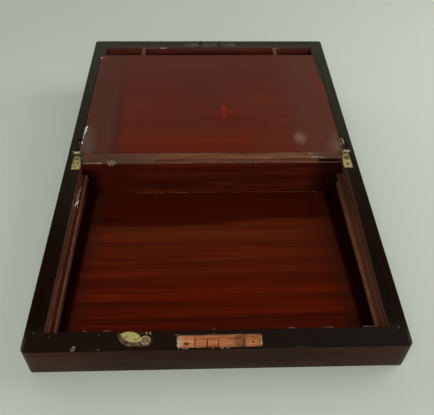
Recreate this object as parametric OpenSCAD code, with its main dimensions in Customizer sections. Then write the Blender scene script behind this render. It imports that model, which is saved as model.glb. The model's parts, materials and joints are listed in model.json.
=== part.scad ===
// Portable writing desk: a slope-topped wooden box, cut in two along its writing slope.
// It is drawn open, as it is used. The base is the half away from the writer, with the
// wells for ink and pens. The lid is the half towards the writer. X runs to the right,
// Y away from the writer and Z up. The origin is on the table, under the hinge line.

/* [Case] */
// Outer width of the desk
case_width = 350; // [300:1:450]
// Depth of each half, from the hinge line to its outer face
half_depth = 254; // [230:1:320]
// Height of the writing slope at the hinge line
hinge_height = 60; // [52:1:80]
// Height of the writing slope at the writer's edge
front_height = 34; // [30:1:45]
// Thickness of the side walls
side_wall = 17.5; // [15:0.5:22]
// Thickness of the lid's front wall
front_wall = 19; // [18:0.5:24]
// Thickness of the base's rear wall
rear_wall = 19.5; // [15:0.5:24]
// Thickness of the two walls that meet at the hinge line
hinge_wall = 14; // [10:0.5:20]
// Thickness of the two large outer panels
panel_thickness = 8; // [5:0.5:12]
// Radius of the upright outer corners
corner_radius = 4.5; // [2:0.5:10]

/* [Ink and pen wells] */
// Clear depth of the wells, measured towards the writer
well_opening = 18; // [18:0.5:45]
// Thickness of the wall between the wells and the big compartment
well_wall = 8; // [5:0.5:12]
// Clear length of each end well
end_well_length = 52.5; // [35:0.5:70]
// Thickness of the two dividers
divider_thickness = 5.5; // [4:0.5:12]
// Thickness of the lining at the outer end of each end well
end_lining = 2.5; // [1.5:0.5:5]
// Depth of the pen tray under the writing slope
pen_tray_depth = 28; // [15:1:45]
// Depth of the end wells under the writing slope
ink_well_depth = 45; // [35:1:60]
// Thickness of the floors of the wells
well_floor = 6; // [3:0.5:10]

/* [Writing board] */
// Thickness of the writing board
board_thickness = 8; // [6:0.5:12]
// Width of the ledge in each side wall that the board lies on
board_lap = 5.5; // [3:0.5:8]
// Gap between the board and the walls around it
board_gap = 0.5; // [0.3:0.1:1.5]
// Gap under the board, taken up by its old lining
board_seat_gap = 0.25; // [0.2:0.05:0.6]

/* [Ledges and rail for the lid's board] */
// Width of each side ledge
ledge_width = 8; // [8:0.5:16]
// Height of each side ledge
ledge_height = 7; // [5:0.5:12]
// Depth of the top of the ledges under the rim
ledge_drop = 8; // [6:0.5:12]
// Distance from the hinge line to the start of the ledges
ledge_start = 29; // [22:1:45]
// Width of the groove along each ledge
ledge_groove = 2.2; // [1:0.1:3]
// Thickness of the rail on top of the lid's hinge wall
rail_thickness = 5; // [3:0.5:8]
// Width of each small step down the rail's inner edge
rail_step = 1.5; // [0.4:0.1:2]
// Thickness of the skin left over the broken end of the rail
rail_skin = 1.3; // [0.8:0.1:2]
// Width and height of the lip left in front of the broken part
rail_lip = 1.3; // [0.8:0.1:1.5]
// Length of the broken part of the rail
rail_break_length = 26.5; // [10:0.5:40]
// Distance from the broken part to the right-hand wall
rail_break_inset = 1.8; // [1:0.1:20]
// Distance from the rail's inner edge to the edge of the skin
rail_notch = 3; // [2:0.1:5]

/* [Main hinges] */
// Width of each hinge
leaf_width = 10.5; // [8:0.5:14]
// Distance that each leaf reaches from the hinge line
leaf_reach = 27; // [20:0.5:36]
// Thickness of the brass leaves
leaf_thickness = 1.6; // [1.2:0.1:2]
// Outer radius of the knuckles
knuckle_radius = 2.5; // [2.2:0.1:3]
// Radius of the hinge pins
hinge_pin_radius = 1.1; // [0.8:0.05:1.3]
// Distance from each leaf's first screw to the hinge line
first_screw = 9.5; // [8:0.5:11]
// Distance between a leaf's two screws
leaf_screw_spacing = 11; // [7:0.5:14]

/* [Screws] */
// Radius of the countersunk heads
screw_head_radius = 1.9; // [1.5:0.1:2.4]
// Radius of the shanks
screw_radius = 0.95; // [0.7:0.05:1.2]
// Length of the screws
screw_length = 11; // [8:0.5:16]
// Width of the slots in the screw heads
screw_slot = 0.5; // [0.3:0.1:0.8]
// Depth of the slots
slot_depth = 0.4; // [0.2:0.1:0.6]

/* [Lock mortise and link plate] */
// Sideways place of the lock's middle
lock_x = 1; // [-5:0.5:5]
// Length of the empty lock mortise
mortise_length = 75; // [60:1:90]
// Width of the mortise
mortise_width = 11.4; // [9:0.2:13]
// Distance from the lid's front face to the middle of the mortise
mortise_inset = 7.9; // [7:0.1:9.5]
// Depth of the middle of the mortise
mortise_depth = 7.5; // [7:0.5:12]
// Length of the shallow pad at each end of the mortise
pad_length = 14.5; // [10:0.5:18]
// Depth of the pads
pad_depth = 2.5; // [1.5:0.5:4]
// Radius of the lock's screw holes
lock_screw_radius = 1.1; // [0.8:0.1:1.5]
// Depth of the lock's screw holes under the pads
lock_screw_depth = 9; // [6:0.5:12]
// Width of the saw cuts across the bottom of the mortise
kerf_width = 0.8; // [0.4:0.1:1.2]
// Depth of the saw cuts
kerf_depth = 1.2; // [0.5:0.1:2]
// Distance between the saw cuts
kerf_spacing = 10; // [8:0.1:11]
// Distance from the lock's middle to the middle saw cut
kerf_shift = -1.3; // [-4:0.1:4]
// Length of the link plate
link_length = 77; // [60:1:90]
// Width of the link plate
link_width = 9.6; // [8:0.2:12]
// Thickness of the link plate
link_thickness = 1.6; // [1.2:0.1:2]
// Distance from each end of the link plate to its screw
link_screw_inset = 4.8; // [4:0.1:7]
// Distance from the base's rear face to the middle of the link plate
link_inset = 10.8; // [9:0.1:12]
// Distance between the two hooks
hook_spacing = 28; // [24:0.5:30]
// Width of each hook
hook_width = 8; // [6:0.5:10]
// Height of each hook above the plate
hook_height = 6.2; // [5:0.1:6.5]
// Thickness of each hook
hook_thickness = 2.4; // [1.6:0.1:3]
// Radius of the notch in each hook
hook_notch = 1.8; // [1.2:0.1:2.2]

/* [Flap catch] */
// Sideways place of the catch's stud
catch_x = -65.6; // [-80:0.1:-60]
// Distance from the lid's front face to the stud
catch_inset = 10.3; // [9.5:0.1:11]
// Distance from the stud to the tip of the lever
lever_length = 24; // [20:0.5:26]
// Greatest width of the lever's leaf
lever_width = 9.6; // [7:0.2:11]
// Thickness of the lever's leaf
lever_thickness = 1.4; // [1:0.1:1.6]
// Radius of the lever's round boss
boss_radius = 4.3; // [3.8:0.1:5]
// Thickness of the boss
boss_thickness = 2.1; // [1.9:0.1:2.4]
// Radius of the stud's shank
stud_radius = 1.5; // [1.2:0.1:1.8]
// Radius of the stud's head
stud_head_radius = 2.6; // [2.3:0.1:2.8]
// Thickness of the stud's head
stud_head_thickness = 0.6; // [0.5:0.1:0.8]
// Depth of the dimple in the stud's head
stud_dimple = 0.4; // [0.2:0.1:0.4]
// Length of the stud in the wood
stud_length = 9; // [6:0.5:12]
// Direction of the lever from the stud as it is left, from the right
lever_rest = 164; // [158:1:168]
// Angle that the lever swings inwards from there
lever_swing_in = 45; // [30:1:45]
// Angle that the lever swings outwards from there
lever_swing_out = 12; // [6:1:12]
// Thickness of the plate under the lever
catch_plate = 0.9; // [0.6:0.1:1.2]
// Worn margin of the pocket around the boss
pocket_margin = 4; // [2:0.5:4.5]
// Width of the two small posts that stop the lever
post_width = 1.4; // [1:0.1:1.8]
// Distance between the posts
post_spacing = 3.4; // [2.4:0.1:4]

/* [Fits] */
// Gap between the two rims when the desk is closed
rim_gap = 0.3; // [0.2:0.05:0.6]
// Radial clearance of the pins in their holes
pin_clearance = 0.05; // [0.02:0.01:0.09]
// Side clearance of parts let into the wood
inlet_fit = 0.15; // [0.1:0.05:0.3]
// Clearance between parts that slide on each other
slide_gap = 0.15; // [0.1:0.05:0.3]
// Depth of the brass faces under the rim
flush_gap = 0.2; // [0.1:0.05:0.4]

/* [Hidden] */
$fn = 48;

// The writing slope is one plane through the hinge line.
slope = atan((hinge_height - front_height) / half_depth);
rear_height = 2 * hinge_height - front_height;
half_width = case_width / 2;
inner_x = half_width - side_wall;
rim = -rim_gap / 2;
over = 1;
air = 10;
tip_space = 0.3;
tall = rear_height + 4 * over;

// Distances along the slope from the hinge line, worked out from the upright faces.
slope_depth = half_depth / cos(slope);
mortise_y = -(slope_depth - mortise_inset);
link_y = slope_depth - link_inset;
stud_y = -(slope_depth - catch_inset);

// Wells and writing board.
well_front_y = half_depth - rear_wall - well_opening;
well_back_y = half_depth - rear_wall;
well_end_x = inner_x - end_lining;
divider_x = well_end_x - end_well_length;
board_bottom = rim - board_thickness;
board_seat = board_bottom - board_seat_gap;
board_edge_x = inner_x + board_lap - board_gap;
board_front = board_gap;
board_back = (well_front_y - board_gap + board_bottom * sin(slope)) / cos(slope);

// Main hinges: the lid's leaves lie at the rim, the base's leaves lie deeper, under the board.
hinge_x = inner_x + inlet_fit + leaf_width / 2;
lid_leaf_top = rim - flush_gap;
knuckle_bite = 0.3;
base_leaf_top = knuckle_bite - knuckle_radius;
knuckle_length = (leaf_width - 2 * slide_gap) / 3;
groove_radius = knuckle_radius + rim_gap;
leaf_start = groove_radius + slide_gap;
leaf_seat_end = leaf_reach + board_gap;
relief_top = base_leaf_top + board_seat_gap;
relief_x = inner_x - board_gap;

// Catch: levels under the slope, and the pocket that the lever swings in.
boss_top = rim - flush_gap;
lever_bottom = boss_top - boss_thickness;
pocket_floor = lever_bottom - slide_gap - catch_plate;
stud_sink = 0.1;
stud_head_top = boss_top - stud_sink;
pocket_tip_reach = 0.6 * lever_length;
pocket_tip_turn = 10;
pocket_boss_turn = 112;
function polar(r, a) = [r * cos(a), r * sin(a)];
pocket_tip = polar(pocket_tip_reach, lever_rest - pocket_tip_turn);
lever_tip_out = polar(lever_length, lever_rest + lever_swing_out);
pocket_tip_radius = norm(lever_tip_out - pocket_tip) + pin_clearance + rim_gap;
pocket_boss = polar(pocket_margin / 2, pocket_boss_turn);
pocket_boss_radius = boss_radius + pocket_margin;
to_inside = (pocket_floor * sin(slope) - half_depth + front_wall) / cos(slope) - stud_y;
post_margin = 0.7;
post_y = to_inside - post_margin - post_width;
first_post_x = 0.5;
lever_root = 1.3;

// A frame whose XY plane is the writing slope, with its origin on the hinge line.
module on_slope() {
    translate([0, 0, hinge_height]) rotate([slope, 0, 0]) children();
}

// An outline in the YZ plane, drawn out along X.
module bar_along_x(x0, x1) {
    translate([x0, 0, 0]) rotate([90, 0, 90]) linear_extrude(x1 - x0) children();
}

// Everything under the slope in one half, with its outer corners rounded.
module half_block(away) {
    outer = away * half_depth;
    seam = away * rim_gap / 2;
    top_outer = hinge_height + outer * tan(slope) + rim;
    top_seam = hinge_height + seam * tan(slope) + rim;
    difference() {
        bar_along_x(-half_width, half_width) {
            polygon([[seam, 0], [outer, 0], [outer, top_outer], [seam, top_seam]]);
        }
        for (side = [-1, 1]) {
            translate([side * (half_width - corner_radius), away * (half_depth - corner_radius), -over]) {
                difference() {
                    translate([side > 0 ? 0 : -2 * corner_radius, away > 0 ? 0 : -2 * corner_radius, 0]) {
                        cube([2 * corner_radius, 2 * corner_radius, tall]);
                    }
                    translate([0, 0, -over]) cylinder(h = tall + 2 * over, r = corner_radius);
                }
            }
        }
    }
}

// A wall of one half, given by its outline on the table.
module wall(away, outline) {
    intersection() {
        half_block(away);
        translate([0, 0, -over]) linear_extrude(tall) polygon(outline);
    }
}

// The outline of the left wall, mitred at the outer corner.
function left_outline(away, end_wall) = [
    [-half_width, 0],
    [-half_width, away * half_depth],
    [-inner_x, away * (half_depth - end_wall)],
    [-inner_x, 0]
];

// The outline of the wall across the outer end, mitred at both corners.
function end_outline(away, end_wall) = [
    [-half_width, away * half_depth],
    [half_width, away * half_depth],
    [inner_x, away * (half_depth - end_wall)],
    [-inner_x, away * (half_depth - end_wall)]
];

// A slotted wood screw with its head at the origin and its shank downwards.
module screw() {
    cone = screw_head_radius - screw_radius;
    difference() {
        rotate_extrude() {
            polygon([[0, -screw_length], [screw_radius, -screw_length], [screw_radius, -cone],
                [screw_head_radius, 0], [0, 0]]);
        }
        translate([-screw_head_radius - over, -screw_slot / 2, -slot_depth]) {
            cube([2 * (screw_head_radius + over), screw_slot, slot_depth + over]);
        }
    }
}

// The hole that a screw leaves in a plate and in the wood under it.
module screw_hole() {
    cone = screw_head_radius - screw_radius;
    rotate_extrude() {
        polygon([[0, -cone - over], [screw_radius + pin_clearance, -cone - over],
            [screw_radius + pin_clearance, -cone], [screw_head_radius + pin_clearance, 0],
            [screw_head_radius + pin_clearance, over], [0, over]]);
    }
    translate([0, 0, -screw_length - tip_space]) {
        cylinder(h = screw_length, r = screw_radius + pin_clearance);
    }
}

// The places of the two screws of a left-hand leaf.
module at_leaf_screws(away, top) {
    for (n = [0, 1]) {
        translate([-hinge_x, away * (first_screw + n * leaf_screw_spacing), top]) children();
    }
}

// The cut for a left-hand leaf, its screws and half of its knuckles.
module leaf_inlet(away, top) {
    wide = leaf_width + 2 * inlet_fit;
    low_y = away > 0 ? 0 : -leaf_reach - inlet_fit;
    translate([-hinge_x - wide / 2, low_y, top - leaf_thickness]) {
        cube([wide + side_wall, leaf_reach + inlet_fit, leaf_thickness + air]);
    }
    translate([-hinge_x - wide / 2, 0, 0]) {
        rotate([0, 90, 0]) cylinder(h = wide + side_wall, r = groove_radius);
    }
    at_leaf_screws(away, top) screw_hole();
}

// A left-hand leaf: the lid's has the two outer knuckles, the base's has the middle one.
module hinge_leaf(away, top) {
    outer = away < 0;
    starts = outer ? [0, leaf_width - knuckle_length] : [knuckle_length + slide_gap];
    first_y = away > 0 ? leaf_start : -leaf_reach;
    tab_y = away > 0 ? 0 : -leaf_start - over;
    difference() {
        union() {
            translate([-hinge_x - leaf_width / 2, first_y, top - leaf_thickness]) {
                cube([leaf_width, leaf_reach - leaf_start, leaf_thickness]);
            }
            for (start = starts) {
                translate([-hinge_x - leaf_width / 2 + start, 0, 0]) {
                    rotate([0, 90, 0]) cylinder(h = knuckle_length, r = knuckle_radius);
                    translate([0, tab_y, top - leaf_thickness]) {
                        cube([knuckle_length, leaf_start + over, leaf_thickness]);
                    }
                }
            }
        }
        translate([-hinge_x - leaf_width / 2 - over, 0, 0]) {
            rotate([0, 90, 0]) cylinder(h = leaf_width + 2 * over, r = hinge_pin_radius + pin_clearance);
        }
        at_leaf_screws(away, top) screw_hole();
    }
}

module hinge_pin() {
    translate([-hinge_x - leaf_width / 2, 0, 0]) {
        rotate([0, 90, 0]) cylinder(h = leaf_width, r = hinge_pin_radius);
    }
}

// Base, the half away from the writer.
module base_side() {
    difference() {
        wall(1, left_outline(1, rear_wall));
        on_slope() {
            translate([-board_edge_x - board_gap, leaf_seat_end, board_seat]) {
                cube([side_wall, board_back + board_gap - leaf_seat_end, board_thickness + air]);
            }
            translate([-board_edge_x - board_gap, -over, base_leaf_top]) {
                cube([side_wall, leaf_seat_end + 2 * over, board_thickness]);
            }
            leaf_inlet(1, base_leaf_top);
        }
    }
}

module base_left_wall() {
    color("#241712") base_side();
}

module base_right_wall() {
    color("#241712") mirror([1, 0, 0]) base_side();
}

module base_rear_wall() {
    color("#241712") difference() {
        wall(1, end_outline(1, rear_wall));
        on_slope() translate([lock_x, link_y, rim]) {
            long = link_length + 2 * inlet_fit;
            wide = link_width + 2 * inlet_fit;
            translate([-long / 2, -wide / 2, -link_thickness]) cube([long, wide, link_thickness + over]);
            at_link_screws() screw_hole();
        }
    }
}

module base_hinge_wall() {
    color("#4a1f16") intersection() {
        wall(1, [[-inner_x, 0], [inner_x, 0], [inner_x, hinge_wall], [-inner_x, hinge_wall]]);
        on_slope() translate([-half_width, -half_depth, board_seat - tall]) {
            cube([case_width, 2 * half_depth, tall]);
        }
    }
}

module base_bottom_panel() {
    color("#3a1a13") translate([-inner_x, hinge_wall, 0]) {
        cube([2 * inner_x, well_back_y - hinge_wall, panel_thickness]);
    }
}

// The fittings of the wells stand on the panel and end at the rim or under the board.
module well_piece(x0, x1, y0, y1, top) {
    intersection() {
        translate([x0, y0, panel_thickness]) cube([x1 - x0, y1 - y0, tall]);
        on_slope() translate([-half_width, 0, top - 2 * tall]) cube([case_width, 2 * half_depth, 2 * tall]);
    }
}

module well_front_wall() {
    color("#5a2418") well_piece(-inner_x, inner_x, well_front_y - well_wall, well_front_y, board_seat);
}

module well_divider() {
    well_piece(-divider_x, -divider_x + divider_thickness, well_front_y, well_back_y, rim);
}

module left_well_divider() {
    color("#4a1f16") well_divider();
}

module right_well_divider() {
    color("#4a1f16") mirror([1, 0, 0]) well_divider();
}

module well_lining() {
    well_piece(-inner_x, -well_end_x, well_front_y, well_back_y, rim);
}

module left_well_lining() {
    color("#5a2418") well_lining();
}

module right_well_lining() {
    color("#5a2418") mirror([1, 0, 0]) well_lining();
}

// A level floor whose top is the given depth under the slope at the middle of the wells.
module well_floor_board(x0, x1, depth) {
    middle_y = (well_front_y + well_back_y) / 2;
    top = hinge_height + middle_y * tan(slope) - depth;
    translate([x0, well_front_y, top - well_floor]) cube([x1 - x0, well_opening, well_floor]);
}

module pen_tray_floor() {
    reach = divider_x - divider_thickness;
    color("#5a2418") well_floor_board(-reach, reach, pen_tray_depth);
}

module left_ink_well_floor() {
    color("#5a2418") well_floor_board(-well_end_x, -divider_x, ink_well_depth);
}

module right_ink_well_floor() {
    color("#5a2418") well_floor_board(divider_x, well_end_x, ink_well_depth);
}

// Link plate of the missing lock, with its two hooks.
module at_link_screws() {
    for (side = [-1, 1]) {
        translate([side * (link_length / 2 - link_screw_inset), 0, -flush_gap]) children();
    }
}

module hook() {
    rotate([90, 0, 0]) translate([0, 0, -hook_thickness / 2]) linear_extrude(hook_thickness) {
        difference() {
            translate([-hook_width / 2, -link_thickness / 2]) {
                square([hook_width, hook_height - hook_width / 4 + link_thickness / 2]);
            }
            translate([hook_width / 2, hook_notch + link_thickness / 2]) circle(r = hook_notch);
        }
        intersection() {
            translate([0, hook_height - hook_width / 2]) circle(r = hook_width / 2);
            translate([-hook_width / 2, hook_height / 2]) square([hook_width, hook_height]);
        }
    }
}

module link_plate() {
    color("#8d8672") on_slope() translate([lock_x, link_y, rim]) difference() {
        union() {
            translate([-link_length / 2, -link_width / 2, -link_thickness]) {
                cube([link_length, link_width, link_thickness - flush_gap / 2]);
            }
            for (side = [-1, 1]) {
                translate([side * hook_spacing / 2, 0, 0]) hook();
            }
        }
        at_link_screws() screw_hole();
    }
}

module link_plate_screws() {
    color("#6d6654") on_slope() translate([lock_x, link_y, rim]) at_link_screws() screw();
}

module base_leaf() {
    on_slope() hinge_leaf(1, base_leaf_top);
}

module left_base_leaf() {
    color("#3c3221") base_leaf();
}

module right_base_leaf() {
    color("#3c3221") mirror([1, 0, 0]) base_leaf();
}

module base_leaf_screws() {
    color("#3c3221") for (side = [0, 1]) {
        mirror([side, 0, 0]) on_slope() at_leaf_screws(1, base_leaf_top) screw();
    }
}

module left_hinge_pin() {
    color("#b39a55") on_slope() hinge_pin();
}

module right_hinge_pin() {
    color("#b39a55") mirror([1, 0, 0]) on_slope() hinge_pin();
}

// Writing board of the base, with its corners cut back for the hinges.
module writing_board() {
    color("#6d2f22") on_slope() difference() {
        translate([-board_edge_x, board_front, board_bottom]) {
            cube([2 * board_edge_x, board_back - board_front, board_thickness]);
        }
        for (side = [0, 1]) {
            mirror([side, 0, 0]) {
                translate([-board_edge_x - over, -over, board_bottom - over]) {
                    cube([board_edge_x + over - relief_x, leaf_start + over, board_thickness + 2 * over]);
                }
                translate([-board_edge_x - over, -over, board_bottom - over]) {
                    cube([board_edge_x + over - relief_x, leaf_seat_end + board_gap + over,
                        relief_top - board_bottom + over]);
                }
            }
        }
    }
}

// Lid, the half towards the writer.
module lid_side() {
    difference() {
        wall(-1, left_outline(-1, front_wall));
        on_slope() leaf_inlet(-1, lid_leaf_top);
    }
}

module lid_left_wall() {
    color("#241712") lid_side();
}

module lid_right_wall() {
    color("#241712") mirror([1, 0, 0]) lid_side();
}

// The mortise has a shallow pad at each end and saw cuts across its deep middle.
module lock_mortise() {
    middle = mortise_length - 2 * pad_length;
    translate([-mortise_length / 2, -mortise_width / 2, -pad_depth]) {
        cube([mortise_length, mortise_width, pad_depth + over]);
    }
    translate([-middle / 2, -mortise_width / 2, -mortise_depth]) {
        cube([middle, mortise_width, mortise_depth + over]);
    }
    for (n = [-1, 0]) {
        translate([kerf_shift + n * kerf_spacing, -mortise_width / 2, -mortise_depth - kerf_depth]) {
            cube([kerf_width, mortise_width, mortise_depth]);
        }
    }
    translate([kerf_shift + kerf_spacing, -mortise_width / 2, -mortise_depth - kerf_width]) {
        cube([middle / 2 - kerf_spacing - kerf_shift, mortise_width, mortise_depth]);
    }
    for (side = [-1, 1]) {
        translate([side * (mortise_length - pad_length) / 2, 0, -pad_depth - lock_screw_depth]) {
            cylinder(h = lock_screw_depth + over, r = lock_screw_radius);
        }
    }
}

// Outline of the catch's pocket: a round end for the boss and a larger one for the tip.
module pocket_outline(extra) {
    boss_r = pocket_boss_radius + extra;
    tip_r = pocket_tip_radius + extra;
    run = pocket_boss - pocket_tip;
    lean = atan2(run[1], run[0]) - 90 + asin((tip_r - boss_r) / norm(run));
    translate(pocket_boss) circle(r = boss_r);
    translate(pocket_tip) circle(r = tip_r);
    polygon([pocket_boss, pocket_tip, pocket_tip + polar(tip_r, lean), pocket_boss + polar(boss_r, lean)]);
}

module lid_front_wall() {
    color("#241712") difference() {
        wall(-1, end_outline(-1, front_wall));
        on_slope() {
            translate([lock_x, mortise_y, rim]) lock_mortise();
            translate([catch_x, stud_y, 0]) {
                translate([0, 0, pocket_floor]) linear_extrude(air) pocket_outline(0);
                translate([0, 0, pocket_floor - stud_length]) {
                    cylinder(h = stud_length + over, r = stud_radius + pin_clearance);
                }
            }
        }
    }
}

module lid_hinge_wall() {
    color("#4a1f16") intersection() {
        wall(-1, [[-inner_x, 0], [inner_x, 0], [inner_x, -hinge_wall], [-inner_x, -hinge_wall]]);
        on_slope() translate([-half_width, -half_depth, rim - rail_thickness - tall]) {
            cube([case_width, 2 * half_depth, tall]);
        }
    }
}

module lid_panel() {
    color("#7a2c1c") translate([-inner_x, -half_depth + front_wall, 0]) {
        cube([2 * inner_x, half_depth - front_wall - hinge_wall, panel_thickness]);
    }
}

// A moulded side ledge: a fillet, a groove and a rounded bead, run along the slope.
module flap_ledge() {
    bead = (ledge_width - ledge_groove) / 2;
    eased = bead / 6;
    top = rim - ledge_drop;
    length = slope_depth - ledge_start;
    intersection() {
        on_slope() translate([-inner_x, -ledge_start, top]) rotate([90, 0, 0]) linear_extrude(length) {
            translate([0, -ledge_height]) square([ledge_width, ledge_height - bead / 2]);
            translate([0, -bead]) square([bead - eased, bead]);
            translate([0, -bead]) square([bead, bead - eased]);
            translate([bead - eased, -eased]) circle(r = eased);
            translate([ledge_width - bead / 2, -bead / 2]) circle(r = bead / 2);
        }
        translate([-inner_x, -half_depth + front_wall, 0]) cube([2 * inner_x, half_depth, tall]);
    }
}

module left_flap_ledge() {
    color("#6e3a2c") flap_ledge();
}

module right_flap_ledge() {
    color("#6e3a2c") mirror([1, 0, 0]) flap_ledge();
}

// Rail for the lid's missing board. Its inner edge steps down, and one length is broken out.
module flap_hinge_rail() {
    break_x = inner_x - rail_break_inset - rail_break_length;
    layer = rail_thickness / 3;
    color("#7d5846") on_slope() difference() {
        for (n = [0 : 2]) {
            translate([-inner_x, n * rail_step - hinge_wall, rim - rail_thickness]) {
                cube([2 * inner_x, hinge_wall - n * rail_step - rim_gap, (n + 1) * layer]);
            }
        }
        translate([break_x, rail_lip - hinge_wall, rim - rail_thickness - over]) {
            cube([rail_break_length, hinge_wall / 2, rail_thickness - rail_skin + over]);
        }
        translate([break_x, rail_lip - hinge_wall, rim - rail_thickness - over]) {
            cube([rail_break_length, rail_notch - rail_lip, rail_thickness + 2 * over]);
        }
        translate([break_x, -hinge_wall - over, rim - rail_thickness + rail_lip]) {
            cube([rail_break_length, rail_notch + over, rail_thickness]);
        }
    }
}

module lid_leaf() {
    on_slope() hinge_leaf(-1, lid_leaf_top);
}

module left_lid_leaf() {
    color("#c9b36b") lid_leaf();
}

module right_lid_leaf() {
    color("#c9b36b") mirror([1, 0, 0]) lid_leaf();
}

module lid_leaf_screws() {
    color("#a8904f") for (side = [0, 1]) {
        mirror([side, 0, 0]) on_slope() at_leaf_screws(-1, lid_leaf_top) screw();
    }
}

// Plate at the bottom of the catch's pocket, with the two small posts that stop the lever.
module catch_plate_inlay() {
    color("#a39a80") on_slope() translate([catch_x, stud_y, pocket_floor]) difference() {
        union() {
            linear_extrude(catch_plate) intersection() {
                pocket_outline(-inlet_fit);
                translate([-half_width, -half_width]) square([case_width, half_width + to_inside - inlet_fit]);
            }
            for (n = [0, 1]) {
                translate([first_post_x + n * post_spacing - post_width / 2, post_y, 0]) {
                    cube([post_width, post_width, boss_top - pocket_floor]);
                }
            }
        }
        translate([0, 0, -over]) cylinder(h = tall, r = stud_radius + pin_clearance);
    }
}

module catch_stud() {
    stud_head_under = stud_head_top - stud_head_thickness / 2;
    color("#b7a264") on_slope() translate([catch_x, stud_y, 0]) difference() {
        union() {
            translate([0, 0, stud_head_top - stud_head_thickness]) {
                cylinder(h = stud_head_thickness, r = stud_head_radius);
            }
            translate([0, 0, pocket_floor - stud_length + tip_space]) {
                cylinder(h = stud_head_under - pocket_floor + stud_length - tip_space, r = stud_radius);
            }
        }
        translate([0, 0, stud_head_top - stud_dimple + stud_head_radius]) sphere(r = stud_head_radius);
    }
}

// Outline of the lever's pointed leaf, pointing to the right.
module lever_leaf() {
    start = boss_radius - lever_root;
    chord = lever_length - start;
    bow = lever_width / 2;
    arc = (chord * chord / 4 + bow * bow) / (2 * bow);
    intersection() {
        translate([start + chord / 2, arc - bow]) circle(r = arc, $fn = 96);
        translate([start + chord / 2, bow - arc]) circle(r = arc, $fn = 96);
    }
}

module catch_lever() {
    color("#d3bf78") on_slope() translate([catch_x, stud_y, 0]) rotate([0, 0, lever_rest]) difference() {
        union() {
            translate([0, 0, lever_bottom]) linear_extrude(lever_thickness) lever_leaf();
            translate([0, 0, lever_bottom]) cylinder(h = boss_thickness, r = boss_radius);
        }
        translate([0, 0, lever_bottom - over]) {
            cylinder(h = boss_thickness + 2 * over, r = stud_radius + pin_clearance);
        }
        translate([0, 0, stud_head_top - stud_head_thickness - slide_gap]) {
            cylinder(h = stud_head_thickness + over, r = stud_head_radius + slide_gap);
        }
    }
}

base_left_wall();
base_right_wall();
base_rear_wall();
base_hinge_wall();
base_bottom_panel();
well_front_wall();
left_well_divider();
right_well_divider();
left_well_lining();
right_well_lining();
pen_tray_floor();
left_ink_well_floor();
right_ink_well_floor();
link_plate();
link_plate_screws();
left_base_leaf();
right_base_leaf();
base_leaf_screws();
left_hinge_pin();
right_hinge_pin();
writing_board();
lid_left_wall();
lid_right_wall();
lid_front_wall();
lid_hinge_wall();
lid_panel();
left_flap_ledge();
right_flap_ledge();
flap_hinge_rail();
left_lid_leaf();
right_lid_leaf();
lid_leaf_screws();
catch_plate_inlay();
catch_stud();
catch_lever();
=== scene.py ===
# Looks for the portable writing desk: woods, brasses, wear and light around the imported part.
import json
import math
import random

import bmesh
import bpy
from mathutils import Matrix, Vector


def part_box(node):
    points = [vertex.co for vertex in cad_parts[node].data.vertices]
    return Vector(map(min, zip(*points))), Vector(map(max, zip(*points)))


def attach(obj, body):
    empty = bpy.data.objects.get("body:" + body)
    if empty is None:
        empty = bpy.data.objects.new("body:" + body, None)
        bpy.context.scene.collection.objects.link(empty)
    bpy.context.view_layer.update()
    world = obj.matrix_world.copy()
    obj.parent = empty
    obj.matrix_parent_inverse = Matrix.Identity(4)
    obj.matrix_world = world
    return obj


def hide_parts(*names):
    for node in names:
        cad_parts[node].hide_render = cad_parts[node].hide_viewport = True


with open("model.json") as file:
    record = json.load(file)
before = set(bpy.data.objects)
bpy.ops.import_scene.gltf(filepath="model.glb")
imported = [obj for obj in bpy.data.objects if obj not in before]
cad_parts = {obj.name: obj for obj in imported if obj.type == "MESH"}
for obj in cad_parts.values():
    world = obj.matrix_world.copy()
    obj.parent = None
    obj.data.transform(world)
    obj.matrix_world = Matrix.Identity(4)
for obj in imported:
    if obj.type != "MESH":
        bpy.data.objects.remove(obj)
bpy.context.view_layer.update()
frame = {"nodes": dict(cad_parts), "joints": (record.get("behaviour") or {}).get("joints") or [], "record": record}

mm = 0.001
joints = {joint["name"]: joint for joint in frame["joints"]}
bodyOf = {node: body for body, nodes in frame["record"]["behaviour"]["bodies"].items() for node in nodes}
slope = math.asin(-joints["catch_pivot"]["axis"][1])
hingeHeight = joints["lid_hinge"]["pos_m"][2]
slopeMatrix = Matrix.Translation((0, 0, hingeHeight)) @ Matrix.Rotation(slope, 4, "X")
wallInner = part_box("lid_panel")[1].x
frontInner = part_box("lid_panel")[0].y
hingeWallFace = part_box("lid_panel")[1].y
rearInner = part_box("base_bottom_panel")[1].y
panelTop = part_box("lid_panel")[1].z
rim = -0.15 * mm


# Node helpers

def addNode(tree, kind, values=None, **settings):
    made = tree.nodes.new("ShaderNode" + kind)
    for name, value in settings.items():
        setattr(made, name, value)
    for key, value in (values or {}).items():
        if isinstance(value, bpy.types.NodeSocket):
            tree.links.new(value, made.inputs[key])
        else:
            made.inputs[key].default_value = value
    return made.outputs


def maths(tree, operation, a, b=0.0, clamp=False):
    return addNode(tree, "Math", {0: a, 1: b}, operation=operation, use_clamp=clamp)[0]


def mixColour(tree, share, low, high, blend="MIX"):
    return addNode(tree, "Mix", {0: share, 6: low, 7: high}, data_type="RGBA", blend_type=blend)[2]


def rescale(tree, value, fromLow, fromHigh, toLow=0.0, toHigh=1.0, smooth=False):
    kind = "SMOOTHSTEP" if smooth else "LINEAR"
    values = {0: value, 1: fromLow, 2: fromHigh, 3: toLow, 4: toHigh}
    return addNode(tree, "MapRange", values, interpolation_type=kind)[0]


def colourRamp(tree, value, stops):
    outputs = addNode(tree, "ValToRGB", {0: value})
    ramp = outputs[0].node.color_ramp
    while len(ramp.elements) < len(stops):
        ramp.elements.new(0.5)
    for element, (place, colour) in zip(ramp.elements, stops):
        element.position = place
        element.color = (*colour, 1.0) if len(colour) == 3 else colour
    return outputs[0]


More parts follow.
